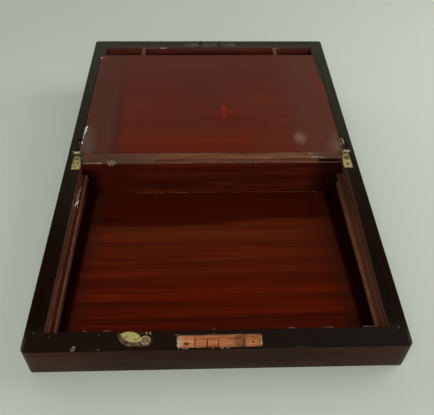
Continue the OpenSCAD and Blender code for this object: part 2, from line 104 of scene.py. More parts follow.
# Display colour, 0 to 255, as the linear colour that a socket takes.
def rgb(red, green, blue):
    def linear(value):
        value = value / 255
        return value / 12.92 if value <= 0.04045 else ((value + 0.055) / 1.055) ** 2.4
    return (linear(red), linear(green), linear(blue), 1.0)


def streakNoise(tree, coords, along, length, width, detail=3.0, wobble=0.0, shift=0.0):
    across = 1 / width
    scale = [across, across, across]
    scale["xyz".index(along)] = 1 / length
    mapped = addNode(tree, "Mapping", {"Vector": coords, "Location": (shift, shift, shift), "Scale": scale})[0]
    values = {"Vector": mapped, "Scale": 1.0, "Detail": detail, "Roughness": 0.55, "Distortion": wobble}
    return addNode(tree, "TexNoise", values)[0]


def bandMask(tree, value, start, end, soft):
    rise = rescale(tree, value, start - soft / 2, start + soft / 2, smooth=True)
    fall = rescale(tree, value, end - soft / 2, end + soft / 2, 1.0, 0.0, smooth=True)
    return maths(tree, "MULTIPLY", rise, fall)


def spotMask(tree, coords, place, size, ragged, inner=0.45):
    shifted = addNode(tree, "Mapping", {"Vector": coords, "Location": [-p / s for p, s in zip(place, size)],
                                        "Scale": [1 / s for s in size]})[0]
    far = addNode(tree, "VectorMath", {0: shifted}, operation="LENGTH")[1]
    far = maths(tree, "ADD", far, ragged)
    return rescale(tree, far, inner, 1.0, 1.0, 0.0, smooth=True)


# Woods

def woodMaterial(name, look, along, overlay=None):
    material = bpy.data.materials.new(name)
    material.use_nodes = True
    tree = material.node_tree
    shader = tree.nodes["Principled BSDF"]
    coords = addNode(tree, "TexCoord")["Object"]
    broad = streakNoise(tree, coords, along, *look["figure"], wobble=0.6, shift=look["shift"])
    fine = streakNoise(tree, coords, along, *look["pores"], detail=2.0, shift=look["shift"])
    figure = rescale(tree, broad, 0.32, 0.68)
    colour = colourRamp(tree, figure, [(0.0, look["dark"]), (0.5, look["middle"]), (1.0, look["light"])])
    pore = rescale(tree, fine, 0.35, 0.6, look["poreDepth"], 1.0)
    colour = scaleColour(tree, colour, pore)
    rough = rescale(tree, broad, 0.3, 0.7, look["roughness"][1], look["roughness"][0])
    if overlay:
        colour, rough = overlay(tree, coords, colour, rough)
    tree.links.new(colour, shader.inputs["Base Color"])
    tree.links.new(rough, shader.inputs["Roughness"])
    bump = addNode(tree, "Bump", {"Height": fine, "Strength": look["bump"], "Distance": 0.1 * mm})[0]
    tree.links.new(bump, shader.inputs["Normal"])
    shader.inputs["Specular IOR Level"].default_value = look["specular"]
    shader.inputs["Coat Weight"].default_value = look.get("coat", 0.0)
    shader.inputs["Coat Roughness"].default_value = look.get("coatRoughness", 0.1)
    return material


caseLook = dict(
    dark=rgb(14, 5, 0), middle=rgb(19, 7, 1), light=rgb(27, 12, 3), shift=3.0,
    figure=(70 * mm, 7 * mm), pores=(14 * mm, 0.5 * mm), poreDepth=0.75,
    roughness=(0.26, 0.36), bump=0.2, specular=0.05,
)
sideLook = dict(
    dark=rgb(42, 24, 16), middle=rgb(46, 27, 17), light=rgb(53, 32, 22), shift=9.0,
    figure=(80 * mm, 12 * mm), pores=(14 * mm, 0.5 * mm), poreDepth=0.8,
    roughness=(0.34, 0.45), bump=0.2, specular=0.06,
)
innerLook = dict(
    dark=rgb(56, 14, 6), middle=rgb(68, 21, 9), light=rgb(84, 30, 14), shift=7.0,
    figure=(120 * mm, 8 * mm), pores=(16 * mm, 0.6 * mm), poreDepth=0.8,
    roughness=(0.38, 0.5), bump=0.2, specular=0.05,
)
floorLook = dict(
    dark=rgb(62, 15, 3), middle=rgb(75, 19, 4), light=rgb(87, 23, 4), shift=11.0,
    figure=(260 * mm, 6 * mm), pores=(30 * mm, 0.6 * mm), poreDepth=0.86,
    roughness=(0.24, 0.32), bump=0.1, specular=0.02,
)
boardLook = dict(
    dark=rgb(83, 28, 14), middle=rgb(88, 31, 16), light=rgb(93, 34, 18), shift=5.0,
    figure=(200 * mm, 12 * mm), pores=(30 * mm, 0.8 * mm), poreDepth=0.96,
    roughness=(0.34, 0.44), bump=0.12, specular=0.03,
)
ledgeLook = dict(
    dark=rgb(80, 42, 32), middle=rgb(95, 57, 46), light=rgb(115, 77, 64), shift=2.0,
    figure=(60 * mm, 3 * mm), pores=(12 * mm, 0.5 * mm), poreDepth=0.8,
    roughness=(0.35, 0.5), bump=0.2, specular=0.06,
)
railLook = dict(
    dark=rgb(87, 51, 33), middle=rgb(102, 65, 43), light=rgb(118, 82, 57), shift=4.0,
    figure=(70 * mm, 3 * mm), pores=(14 * mm, 0.5 * mm), poreDepth=0.8,
    roughness=(0.5, 0.65), bump=0.25, specular=0.05,
)
bareLook = dict(
    dark=rgb(166, 98, 54), middle=rgb(208, 134, 82), light=rgb(232, 166, 116), shift=6.0,
    figure=(14 * mm, 2 * mm), pores=(8 * mm, 0.35 * mm), poreDepth=0.75,
    roughness=(0.65, 0.8), bump=0.4, specular=0.1,
)
splinterLook = dict(
    dark=rgb(120, 84, 70), middle=rgb(158, 124, 108), light=rgb(200, 176, 160), shift=8.0,
    figure=(9 * mm, 1.5 * mm), pores=(5 * mm, 0.3 * mm), poreDepth=0.8,
    roughness=(0.6, 0.8), bump=0.4, specular=0.15,
)
flakeLook = dict(splinterLook, dark=rgb(184, 176, 166), middle=rgb(214, 208, 198), light=rgb(238, 234, 226))
lineLook = dict(splinterLook, dark=rgb(96, 58, 44), middle=rgb(122, 84, 68), light=rgb(150, 114, 98))
scuffLook = dict(splinterLook, dark=rgb(70, 52, 44), middle=rgb(98, 84, 76), light=rgb(134, 122, 114))
fillerLook = dict(splinterLook, dark=rgb(120, 102, 80), middle=rgb(156, 140, 116), light=rgb(196, 182, 158))
fringeLook = dict(splinterLook, dark=rgb(72, 50, 38), middle=rgb(96, 76, 62), light=rgb(128, 110, 92))
scrapLook = dict(splinterLook, dark=rgb(84, 66, 56), middle=rgb(116, 100, 88), light=rgb(152, 140, 128))
# Near-black, for the painted shade of recesses.
recessShadeLook = dict(splinterLook, dark=rgb(8, 6, 5), middle=rgb(14, 10, 8), light=rgb(24, 18, 14))


def mixNumber(tree, share, low, high):
    return addNode(tree, "Mix", {0: share, 2: low, 3: high})[0]


def scaleColour(tree, colour, factor):
    return addNode(tree, "VectorMath", {0: colour, 3: factor}, operation="SCALE")[0]


# The rims carry dust and a painted greenish sheen that grow towards the rear and by the right hinge, and are redder
# along the front. The right and rear ones' inner edges are worn. A painted sheen lies on the rounded front corners.
def caseOverlay(tree, coords, colour, rough):
    axes = addNode(tree, "SeparateXYZ", {0: coords})
    dustAndSheen = rescale(tree, axes["Y"], -150 * mm, 235 * mm, 0.0, 0.9)
    right = maths(tree, "MULTIPLY", rescale(tree, axes["X"], 150 * mm, 156 * mm, 0.0, 0.3),
                  rescale(tree, axes["Y"], -30 * mm, 10 * mm, smooth=True))
    colour = mixColour(tree, maths(tree, "ADD", dustAndSheen, right, clamp=True), colour, caseStyle["dustAndSheen"])
    inner = maths(tree, "SUBTRACT", axes["X"], rescale(tree, axes["Y"], -225 * mm, -60 * mm, 157.4 * mm, 160 * mm))
    bare = maths(tree, "MULTIPLY", rescale(tree, inner, -0.3 * mm, 0.4 * mm, 0.85, 0.0),
                 bandMask(tree, axes["Y"], -218 * mm, -30 * mm, 4 * mm))
    bare = maths(tree, "MULTIPLY", bare, rescale(tree, axes["X"], 156.4 * mm, 157 * mm))
    colour = mixColour(tree, bare, colour, caseStyle["arris"])
    rear = maths(tree, "MULTIPLY", rescale(tree, axes["Y"], 245 * mm, 239 * mm, 0.0, 0.7),
                 bandMask(tree, axes["X"], -152 * mm, 152 * mm, 8 * mm))
    rear = maths(tree, "MULTIPLY", rear, rescale(tree, axes["Y"], 230 * mm, 232 * mm))
    colour = mixColour(tree, rear, colour, caseStyle["rear"])
    front = rescale(tree, axes["Y"], -225 * mm, -238 * mm, 0.0, 0.6, smooth=True)
    tone = mixColour(tree, rescale(tree, axes["X"], -20 * mm, 120 * mm), caseStyle["front"], caseStyle["frontRight"])
    colour = mixColour(tree, front, colour, tone)
    # Painted greenish sheen on the rounded front corners of the rims.
    corner = maths(tree, "MULTIPLY", rescale(tree, maths(tree, "ABSOLUTE", axes["X"]), 171.5 * mm, 174.5 * mm, 0.0, 0.8),
                   rescale(tree, axes["Y"], -232 * mm, -247 * mm))
    return mixColour(tree, corner, colour, caseStyle["corner"]), rough


# The dust tone also carries a painted sheen, and the corner tone is a painted sheen.
caseStyle = dict(dustAndSheen=rgb(43, 44, 29), front=rgb(34, 22, 15), frontRight=rgb(31, 27, 25),
                 corner=rgb(64, 67, 54), arris=rgb(58, 33, 25), rear=rgb(64, 45, 33))


# Painted shade darkens the ledges' hollow beside the wall and their rear end, reaching further forward on the right
# ledge.
def ledgeOverlay(tree, coords, colour, rough):
    axes = addNode(tree, "SeparateXYZ", {0: coords})
    far = maths(tree, "ABSOLUTE", axes["X"])
    hollow = bandMask(tree, far, *ledgeStyle["hollow"], 0.8 * mm)
    colour = mixColour(tree, maths(tree, "MULTIPLY", hollow, 0.92), colour, ledgeStyle["hollowShade"])
    right = rescale(tree, axes["X"], 0, 1 * mm, 0.0, 0.65)
    colour = mixColour(tree, right, colour, ledgeStyle["rightTone"])
    rear = rescale(tree, axes["Y"], -70 * mm, -45 * mm, 0.0, 0.45, smooth=True)
    rightRear = maths(tree, "MULTIPLY", right, rescale(tree, axes["Y"], -110 * mm, -62 * mm))
    return mixColour(tree, maths(tree, "MAXIMUM", rear, rightRear), colour, ledgeStyle["rearShade"]), rough


# The hollow and rear tones are painted shade.
ledgeStyle = dict(hollow=(151.3 * mm, 155.3 * mm), hollowShade=rgb(62, 22, 2), rightTone=rgb(84, 52, 30),
                  rearShade=rgb(50, 24, 16))


# The rail is dirty along its left part and greyer at its right end, both with ragged edges; the streaks below give
# bright and dark figure lines, each at its own place across the grain.
def railOverlay(tree, coords, colour, rough):
    axes = addNode(tree, "SeparateXYZ", {0: coords})
    ragged = streakNoise(tree, coords, "x", 20 * mm, 3 * mm)
    place = maths(tree, "ADD", axes["X"], rescale(tree, ragged, 0.3, 0.7, -9 * mm, 9 * mm))
    colour = mixColour(tree, rescale(tree, place, -110 * mm, -62 * mm, 0.85, 0.0), colour, railStyle["dirtAndShade"])
    return mixColour(tree, rescale(tree, place, 118 * mm, 140 * mm, 0.0, 0.7), colour, railStyle["right"]), rough


railStyle = dict(dirtAndShade=rgb(76, 50, 38), right=rgb(70, 48, 40))


# The wells' walls are dusty near the top, and painted shade darkens them towards the bottom.
def wellOverlay(tree, coords, colour, rough):
    axes = addNode(tree, "SeparateXYZ", {0: coords})
    dusty = rescale(tree, axes["Z"], 78 * mm, 85 * mm, 0.0, 0.85)
    colour = mixColour(tree, dusty, colour, rgb(78, 52, 46))
    return scaleColour(tree, colour, rescale(tree, axes["Z"], 73 * mm, 78 * mm, 0.5, 1.0)), rough


# The mortise's bare wood: darker pads, a painted shadow towards its right and a paler left end.
def bareOverlay(tree, coords, colour, rough):
    axes = addNode(tree, "SeparateXYZ", {0: coords})
    middle = maths(tree, "ABSOLUTE", maths(tree, "SUBTRACT", axes["X"], 1 * mm))
    pads = rescale(tree, middle, 23.2 * mm, 23.8 * mm, 0.88, 0.78)
    shadow = rescale(tree, bandMask(tree, axes["X"], 15 * mm, 26 * mm, 5 * mm), 0.0, 1.0, 1.0, 0.62)
    colour = scaleColour(tree, colour, maths(tree, "MULTIPLY", pads, shadow))
    end = rescale(tree, axes["X"], -35 * mm, -31 * mm, 0.7, 0.0)
    return mixColour(tree, end, colour, rgb(204, 166, 140)), rough


def streaks(tree, coords, colour, look):
    axes = addNode(tree, "SeparateXYZ", {0: coords})
    wander = streakNoise(tree, coords, "x", 150 * mm, 25 * mm, detail=2.0, shift=look["shift"])
    across = maths(tree, "ADD", axes["Y"], rescale(tree, wander, 0.3, 0.7, -1.8 * mm, 1.8 * mm))
    across = maths(tree, "ADD", across, maths(tree, "MULTIPLY", axes["X"], look["tilt"]))
    fade = rescale(tree, streakNoise(tree, coords, "x", 90 * mm, 9 * mm, shift=look["shift"]), 0.32, 0.6, 0.35, 1.0)
    for centre, width, gain in look["lines"]:
        mask = maths(tree, "MULTIPLY", bandMask(tree, across, (centre - width / 2) * mm, (centre + width / 2) * mm,
                                                0.8 * width * mm), fade)
        factor = rescale(tree, mask, 0.0, 1.0, 1.0, gain)
        colour = scaleColour(tree, colour, factor)
    return colour


boardStyle = dict(
    left=-120.5 * mm, right=114 * mm, shade=(-127 * mm, -117 * mm),
    # The haze tone is a painted reflection, and the tone of the board's right edge a painted sheen.
    border=rgb(74, 45, 37), rightBorder=rgb(85, 48, 36), shadeTone=rgb(58, 30, 22), paintedHaze=rgb(80, 46, 35),
    edgeSheen=rgb(60, 40, 31),
    tilt=0.0, shift=21.0,
    lines=((205, 9, 1.12), (190, 12, 1.16), (165, 16, 0.9), (132, 30, 0.92), (99, 7, 1.1), (84, 5, 1.06),
           (58, 9, 0.92), (30, 5, 1.12), (21, 9, 1.3), (9, 6, 0.88)),
    spots=(((17 * mm, 78 * mm, 68 * mm), (7 * mm, 20 * mm, 60 * mm), 0.5, rgb(136, 36, 16)),
           ((72 * mm, 110 * mm, 71 * mm), (26 * mm, 10 * mm, 60 * mm), 0.32, rgb(116, 40, 22)),
           ((60 * mm, 96 * mm, 71 * mm), (18 * mm, 8 * mm, 60 * mm), 0.2, rgb(112, 44, 22)),
           ((92 * mm, 62 * mm, 66 * mm), (9 * mm, 4 * mm, 60 * mm), 0.3, rgb(126, 58, 38)),
           ((-96 * mm, 92 * mm, 69 * mm), (30 * mm, 5 * mm, 60 * mm), 0.3, rgb(110, 44, 24)),
           ((-20 * mm, 191 * mm, 79 * mm), (60 * mm, 12 * mm, 60 * mm), 0.3, rgb(104, 40, 32)),
           ((159 * mm, 12 * mm, 61 * mm), (20 * mm, 34 * mm, 60 * mm), 0.45, rgb(108, 92, 78)),
           ((-158 * mm, 20 * mm, 61 * mm), (17 * mm, 42 * mm, 60 * mm), 0.45, rgb(98, 84, 70)),
           ((150 * mm, 150 * mm, 75 * mm), (16 * mm, 70 * mm, 60 * mm), 0.35, rgb(100, 40, 34)),
           ((-30 * mm, 20 * mm, 62 * mm), (120 * mm, 22 * mm, 60 * mm), 0.5, rgb(99, 28, 8)),
           ((0, 160 * mm, 76 * mm), (80 * mm, 60 * mm, 60 * mm), 0.3, rgb(68, 40, 31))),
)


# The board's paler borders, a painted reflection haze towards its rear and right, a painted shade band by its left
# border, a painted sheen along its right edge, the smudge and the bright spots in its varnish.
def boardOverlay(tree, coords, colour, rough):
    axes = addNode(tree, "SeparateXYZ", {0: coords})
    blotch = addNode(tree, "TexNoise", {"Vector": coords, "Scale": 30.0, "Detail": 3.0})[0]
    ragged = rescale(tree, blotch, 0.3, 0.7, -0.25, 0.25)
    colour = streaks(tree, coords, colour, boardStyle)
    for patch, tone in ((3.0, rgb(78, 44, 27)), (8.0, rgb(97, 36, 31))):
        moved = addNode(tree, "Mapping", {"Vector": coords, "Location": (patch, patch, 0)})[0]
        cloud = addNode(tree, "TexNoise", {"Vector": moved, "Scale": 16.0, "Detail": 2.0})[0]
        colour = mixColour(tree, rescale(tree, cloud, 0.45, 0.7, 0.0, 0.36), colour, tone)
    # Painted reflection haze towards the rear and the right.
    paintedHaze = rescale(tree, axes["Y"], 15 * mm, 200 * mm, 0.0, 0.6)
    paintedHaze = maths(tree, "ADD", paintedHaze, rescale(tree, axes["X"], 40 * mm, 130 * mm, 0.0, 0.35), clamp=True)
    colour = mixColour(tree, paintedHaze, colour, mixColour(tree, 0.8, colour, boardStyle["paintedHaze"]))
    edgeX = maths(tree, "ADD", axes["X"], rescale(tree, blotch, 0.3, 0.7, -1.5 * mm, 1.5 * mm))
    border = mixColour(tree, rescale(tree, axes["Y"], 60 * mm, 200 * mm, 0.8, 0.55), colour, boardStyle["border"])
    colour = mixColour(tree, rescale(tree, edgeX, boardStyle["left"] - 3 * mm, boardStyle["left"] + 1 * mm), border, colour)
    border = mixColour(tree, 0.8, colour, boardStyle["rightBorder"])
    colour = mixColour(tree, rescale(tree, edgeX, boardStyle["right"] - 16 * mm, boardStyle["right"] + 8 * mm), colour, border)
    shade = bandMask(tree, edgeX, *boardStyle["shade"], 8 * mm)
    shade = maths(tree, "MULTIPLY", shade, rescale(tree, axes["Y"], 60 * mm, 190 * mm, 0.5, 0.15))
    colour = mixColour(tree, shade, colour, boardStyle["shadeTone"])
    for place, size, strength, tone in boardStyle["spots"]:
        spot = spotMask(tree, coords, place, size, ragged, 0.2)
        colour = mixColour(tree, maths(tree, "MULTIPLY", spot, strength), colour, tone)
    smear = streakNoise(tree, coords, "y", 12 * mm, 4 * mm, wobble=1.2)
    # A painted sheen along the board's right edge, blending into the rims' tone towards the rear.
    end = maths(tree, "ADD", edgeX, rescale(tree, axes["Y"], 150 * mm, 178 * mm, 0.0, 3 * mm))
    wearAndSheen = mixColour(tree, rescale(tree, axes["Y"], 120 * mm, 180 * mm), boardStyle["edgeSheen"], caseStyle["dustAndSheen"])
    colour = mixColour(tree, rescale(tree, end, 159.4 * mm, 160.6 * mm, 0.0, 0.9), colour, wearAndSheen)
    smudge = spotMask(tree, coords, (111.5 * mm, 27 * mm, 63 * mm), (11 * mm, 17 * mm, 60 * mm),
                      rescale(tree, smear, 0.3, 0.7, -0.2, 0.2), 0.0)
    colour = mixColour(tree, maths(tree, "MULTIPLY", smudge, 0.6), colour, rgb(128, 102, 84))
    return colour, mixNumber(tree, smudge, rough, 0.6)


# The tones for the band by the hinge wall, the deep patch and the walls are painted shadow.
floorStyle = dict(
    tilt=-0.024, shift=31.0, edge=-74 * mm, hingeShadowTone=rgb(52, 10, 2), sideShadowTone=rgb(26, 4, 1), rear=rgb(82, 34, 15),
    dull=rgb(52, 24, 16), deep=rgb(32, 5, 1),
    lines=((-88, 10, 1.42), (-104, 16, 1.02), (-124, 10, 1.25), (-132.5, 6, 0.85), (-143.5, 9, 1.42),
           (-158.5, 14, 0.82), (-174, 6, 1.4), (-183.5, 8, 0.88), (-195, 10, 1.25), (-205, 5, 0.88), (-212, 8, 1.3),
           (-219, 6, 1.25)),
)


# The panel's streaks, its browner rear half, the painted shadow band beside the hinge wall, a deeper painted shadow at
# its left and the painted shade along the sides.
def floorOverlay(tree, coords, colour, rough):
    axes = addNode(tree, "SeparateXYZ", {0: coords})
    browner = rescale(tree, axes["Y"], -170 * mm, -80 * mm, 0.0, 0.5)
    colour = streaks(tree, coords, mixColour(tree, browner, colour, floorStyle["rear"]), floorStyle)
    thin = streakNoise(tree, coords, "x", 130 * mm, 2.4 * mm, detail=4.0, wobble=0.4, shift=51.0)
    colour = scaleColour(tree, colour, rescale(tree, thin, 0.34, 0.66, 0.84, 1.14))
    # Painted shadow of the hinge wall: a band with a wavering edge.
    wander = streakNoise(tree, coords, "x", 60 * mm, 20 * mm, detail=2.0, shift=41.0)
    place = maths(tree, "ADD", axes["Y"], rescale(tree, wander, 0.3, 0.7, -3 * mm, 3 * mm))
    place = maths(tree, "SUBTRACT", place, rescale(tree, axes["X"], 0, 70 * mm, 0.0, 13 * mm))
    hingeShadow = rescale(tree, place, floorStyle["edge"] - 4 * mm, floorStyle["edge"] + 4 * mm, 0.0, 0.88, smooth=True)
    colour = mixColour(tree, hingeShadow, colour, floorStyle["hingeShadowTone"])
    # A deeper painted shadow at the left, merging with the side's shadow.
    deep = spotMask(tree, coords, (-140 * mm, -64 * mm, 8 * mm), (66 * mm, 9 * mm, 60 * mm), 0.0, 0.1)
    colour = mixColour(tree, maths(tree, "MULTIPLY", deep, 0.7), colour, floorStyle["deep"])
    # Painted shade along each side: a duller zone, then a dark shadow strip by the wall.
    for side, edge in ((-1, 146 * mm), (1, 142.3 * mm)):
        reach = maths(tree, "MULTIPLY", axes["X"], side)
        dull = rescale(tree, reach, edge - 22 * mm, edge - 4 * mm, 0.0, 0.5)
        colour = mixColour(tree, dull, colour, floorStyle["dull"])
        shade = rescale(tree, reach, edge - 2.5 * mm, edge + 1.5 * mm, 0.0, 0.95, smooth=True)
        colour = mixColour(tree, shade, colour, floorStyle["sideShadowTone"])
    return colour, rough


# Painted shade darkens the lid's hinge wall at both ends, lower down at the left.
def hingeOverlay(tree, coords, colour, rough):
    axes = addNode(tree, "SeparateXYZ", {0: coords})
    right = rescale(tree, axes["X"], 112 * mm, 142 * mm, 0.0, 0.85, smooth=True)
    left = rescale(tree, axes["X"], -134 * mm, -148 * mm, 0.0, 0.8, smooth=True)
    left = maths(tree, "MULTIPLY", left, rescale(tree, axes["Z"], 50 * mm, 42 * mm))
    return mixColour(tree, maths(tree, "ADD", left, right), colour, rgb(26, 6, 2)), rough


# The corner tone is a painted greenish sheen.
sideStyle = dict(ends=150 * mm, gain=1.5, corner=rgb(60, 64, 50))


# The outer faces grow paler towards their ends, and a painted greenish sheen lies on their rounded corners.
def sideOverlay(tree, coords, colour, rough):
    axes = addNode(tree, "SeparateXYZ", {0: coords})
    far = maths(tree, "ABSOLUTE", axes["X"])
    gain = rescale(tree, far, 70 * mm, sideStyle["ends"], 0.95, sideStyle["gain"], smooth=True)
    colour = scaleColour(tree, colour, gain)
    return mixColour(tree, rescale(tree, far, 166 * mm, 174 * mm, 0.0, 0.8), colour, sideStyle["corner"]), rough


woods = {
    "caseX": woodMaterial("caseWoodAcross", caseLook, "x", caseOverlay),
    "caseY": woodMaterial("caseWoodAlong", caseLook, "y", caseOverlay),
    "sideX": woodMaterial("sideWoodAcross", sideLook, "x", sideOverlay),
    "sideY": woodMaterial("sideWoodAlong", sideLook, "y"),
    "innerX": woodMaterial("innerWoodAcross", innerLook, "x"),
    "hingeWall": woodMaterial("hingeWallWood", innerLook, "x", hingeOverlay),
    "innerY": woodMaterial("innerWoodAlong", innerLook, "y"),
    "panel": woodMaterial("varnishedPanel", floorLook, "x", floorOverlay),
    "lidTop": woodMaterial("lidTopVeneer", dict(sideLook, dark=rgb(38, 19, 11), middle=rgb(52, 26, 15),
                                                light=rgb(66, 36, 21), figure=(180 * mm, 16 * mm)), "x"),
    "board": woodMaterial("boardWood", boardLook, "x", boardOverlay),
    "boardUnder": woodMaterial("boardUnderside", dict(boardLook, dark=rgb(62, 26, 14), middle=rgb(78, 34, 19),
                                                      light=rgb(94, 44, 26), poreDepth=0.85), "x"),
    "ledge": woodMaterial("ledgeWood", ledgeLook, "y", ledgeOverlay),
    "wallTop": woodMaterial("wallTopWood", ledgeLook, "y"),
    "lining": woodMaterial("liningWood", dict(innerLook, dark=rgb(42, 22, 14), middle=rgb(50, 27, 18),
                                              light=rgb(62, 36, 26)), "y"),
    "rail": woodMaterial("railWood", railLook, "x", railOverlay),
    "well": woodMaterial("wellWood", dict(innerLook, dark=rgb(73, 26, 18), middle=rgb(86, 34, 24),
                                          light=rgb(102, 46, 34)), "x", wellOverlay),
    # A painted greenish sheen for the rounded corner faces.
    "corner": woodMaterial("roundedCornerSheen", dict(sideLook, dark=rgb(40, 46, 34), middle=rgb(52, 60, 46),
                                              light=rgb(72, 80, 66)), "y"),
    # A darker copy of the rail wood, painted as shade on its downward faces.
    "railUnderShade": woodMaterial("railUndersideShade", dict(railLook, dark=rgb(40, 18, 12), middle=rgb(52, 25, 17),
                                               light=rgb(66, 36, 26)), "x"),
    "bare": woodMaterial("bareWood", bareLook, "x", bareOverlay),
    "crack": woodMaterial("darkCrack", dict(splinterLook, dark=rgb(50, 12, 2), middle=rgb(72, 22, 6),
                                            light=rgb(92, 34, 12)), "x"),
    "splinter": woodMaterial("splinterWood", splinterLook, "x"),
    "flake": woodMaterial("paleFlake", flakeLook, "x"),
    "line": woodMaterial("wornLine", lineLook, "x"),
    "scuff": woodMaterial("scuffedVarnish", scuffLook, "x"),
    "thread": woodMaterial("looseThread", dict(splinterLook, dark=rgb(158, 122, 110), middle=rgb(190, 156, 144),
                                               light=rgb(216, 190, 178)), "x"),
    "filler": woodMaterial("oldFiller", fillerLook, "x"),
    "fringe": woodMaterial("tornFringe", fringeLook, "x"),
    "scrap": woodMaterial("veneerScrap", scrapLook, "y"),
    "spot": woodMaterial("redSpot", dict(splinterLook, dark=rgb(84, 30, 20), middle=rgb(102, 46, 34),
                                         light=rgb(120, 64, 50)), "x"),
    # Near-black painted shade for the channels and the wells' depths.
    "recessShade": woodMaterial("openChannelShade", recessShadeLook, "y"),
}


# Brasses

def brassMaterial(name, look, overlay=None):
    material = bpy.data.materials.new(name)
    material.use_nodes = True
    tree = material.node_tree
    shader = tree.nodes["Principled BSDF"]
    coords = addNode(tree, "TexCoord")["Object"]
    cloud = addNode(tree, "TexNoise", {"Vector": coords, "Scale": look["cloudScale"], "Detail": 5.0})[0]
    scratch = streakNoise(tree, coords, "x", 6 * mm, 0.25 * mm, detail=2.0)
    stain = rescale(tree, cloud, 0.38, 0.66)
    colour = colourRamp(tree, stain, [(0.0, look["clean"]), (0.55, look["dull"]), (1.0, look["stained"])])
    if overlay:
        colour = overlay(tree, coords, colour)
    tree.links.new(colour, shader.inputs["Base Color"])
    rough = rescale(tree, cloud, 0.35, 0.7, look["roughness"][0], look["roughness"][1])
    tree.links.new(rough, shader.inputs["Roughness"])
    bump = addNode(tree, "Bump", {"Height": scratch, "Strength": 0.25, "Distance": 0.05 * mm})[0]
    tree.links.new(bump, shader.inputs["Normal"])
    shader.inputs["Metallic"].default_value = look["metallic"]
    shader.inputs["Specular IOR Level"].default_value = look.get("specular", 0.5)
    return material


# Dirt and painted shade darken each leaf beside the knuckles, along its inner edge near them, along its outer edge and
# over its screw spot; the right leaf is paler.
def leafOverlay(tree, coords, colour):
    axes = addNode(tree, "SeparateXYZ", {0: coords})
    blotch = addNode(tree, "TexNoise", {"Vector": coords, "Scale": 500.0, "Detail": 2.0})[0]
    depth = maths(tree, "ADD", axes["Y"], rescale(tree, blotch, 0.3, 0.7, -0.8 * mm, 0.8 * mm))
    colour = scaleColour(tree, colour, rescale(tree, depth, -19 * mm, -7 * mm, 1.2, 0.8))
    colour = mixColour(tree, rescale(tree, depth, -4.4 * mm, -2.6 * mm, 0.0, 0.9), colour, leafStyle["dirtAndShade"])
    colour = mixColour(tree, rescale(tree, axes["X"], 0, 1 * mm, 0.0, 0.55), colour, leafStyle["pale"])
    screw = spotMask(tree, coords, leafStyle["screw"], (4 * mm, 4.6 * mm, 20 * mm), 0.0, 0.55)
    colour = mixColour(tree, maths(tree, "MULTIPLY", screw, 0.85), colour, leafStyle["dirtAndShade"])
    inner = maths(tree, "SUBTRACT", maths(tree, "ABSOLUTE", axes["X"]), leafStyle["edge"])
    wedge = maths(tree, "SUBTRACT", inner, rescale(tree, depth, -18 * mm, -2 * mm, 0.0, 3.2 * mm))
    colour = mixColour(tree, rescale(tree, wedge, -0.3 * mm, 0.4 * mm, 0.85, 0.0), colour, leafStyle["dirtAndShade"])
    rim = maths(tree, "ADD", inner, rescale(tree, depth, -18 * mm, -2 * mm, 0.0, 2.0 * mm))
    return mixColour(tree, rescale(tree, rim, 9.8 * mm, 10.4 * mm, 0.0, 0.7), colour, leafStyle["dirtAndShade"])


# Painted shadow blackens the catch's inlay on the right of its stud and behind it.
def inlayOverlay(tree, coords, colour):
    axes = addNode(tree, "SeparateXYZ", {0: coords})
    right = rescale(tree, axes["X"], -65 * mm, -60 * mm, 0.0, 0.9)
    behind = maths(tree, "MULTIPLY", rescale(tree, axes["X"], -76 * mm, -71 * mm, 0.0, 0.9),
                   rescale(tree, axes["Y"], -242 * mm, -240.5 * mm))
    front = rescale(tree, axes["Y"], -200 * mm, -201 * mm)
    leverShadow = maths(tree, "MULTIPLY", maths(tree, "MAXIMUM", right, behind), front)
    return mixColour(tree, leverShadow, colour, rgb(30, 21, 12))


# The worn middle of the lever's boss.
def bossOverlay(tree, coords, colour):
    place = slopeMatrix @ Vector((-65.6 * mm, -245.03 * mm, 0))
    wearAndSheen = spotMask(tree, coords, place, (3.6 * mm, 3.6 * mm, 20 * mm), 0.0, 0.85)
    return mixColour(tree, wearAndSheen, colour, rgb(118, 100, 68))


# The dirt tone also serves as painted shade on the leaves.
leafStyle = dict(pale=rgb(190, 170, 122), dirtAndShade=rgb(58, 46, 20), edge=157.6 * mm, screw=(163.4 * mm, -10 * mm, 59 * mm))
brightLook = dict(clean=rgb(194, 182, 118), dull=rgb(146, 130, 70), stained=rgb(78, 66, 28),
                  cloudScale=420.0, roughness=(0.4, 0.6), metallic=0.6)
knuckleLook = dict(clean=rgb(176, 155, 128), dull=rgb(142, 122, 98), stained=rgb(84, 64, 46),
                   cloudScale=500.0, roughness=(0.5, 0.65), metallic=0.25)
leverLook = dict(clean=rgb(208, 197, 122), dull=rgb(178, 165, 98), stained=rgb(104, 90, 42),
                 cloudScale=620.0, roughness=(0.4, 0.6), metallic=0.5)
tarnishedLook = dict(clean=rgb(134, 108, 82), dull=rgb(98, 76, 54), stained=rgb(56, 40, 25),
                     cloudScale=260.0, roughness=(0.45, 0.7), metallic=0.35, specular=0.12)
blackenedLook = dict(clean=rgb(70, 58, 38), dull=rgb(48, 38, 26), stained=rgb(26, 20, 15),
                     cloudScale=260.0, roughness=(0.45, 0.7), metallic=0.6)
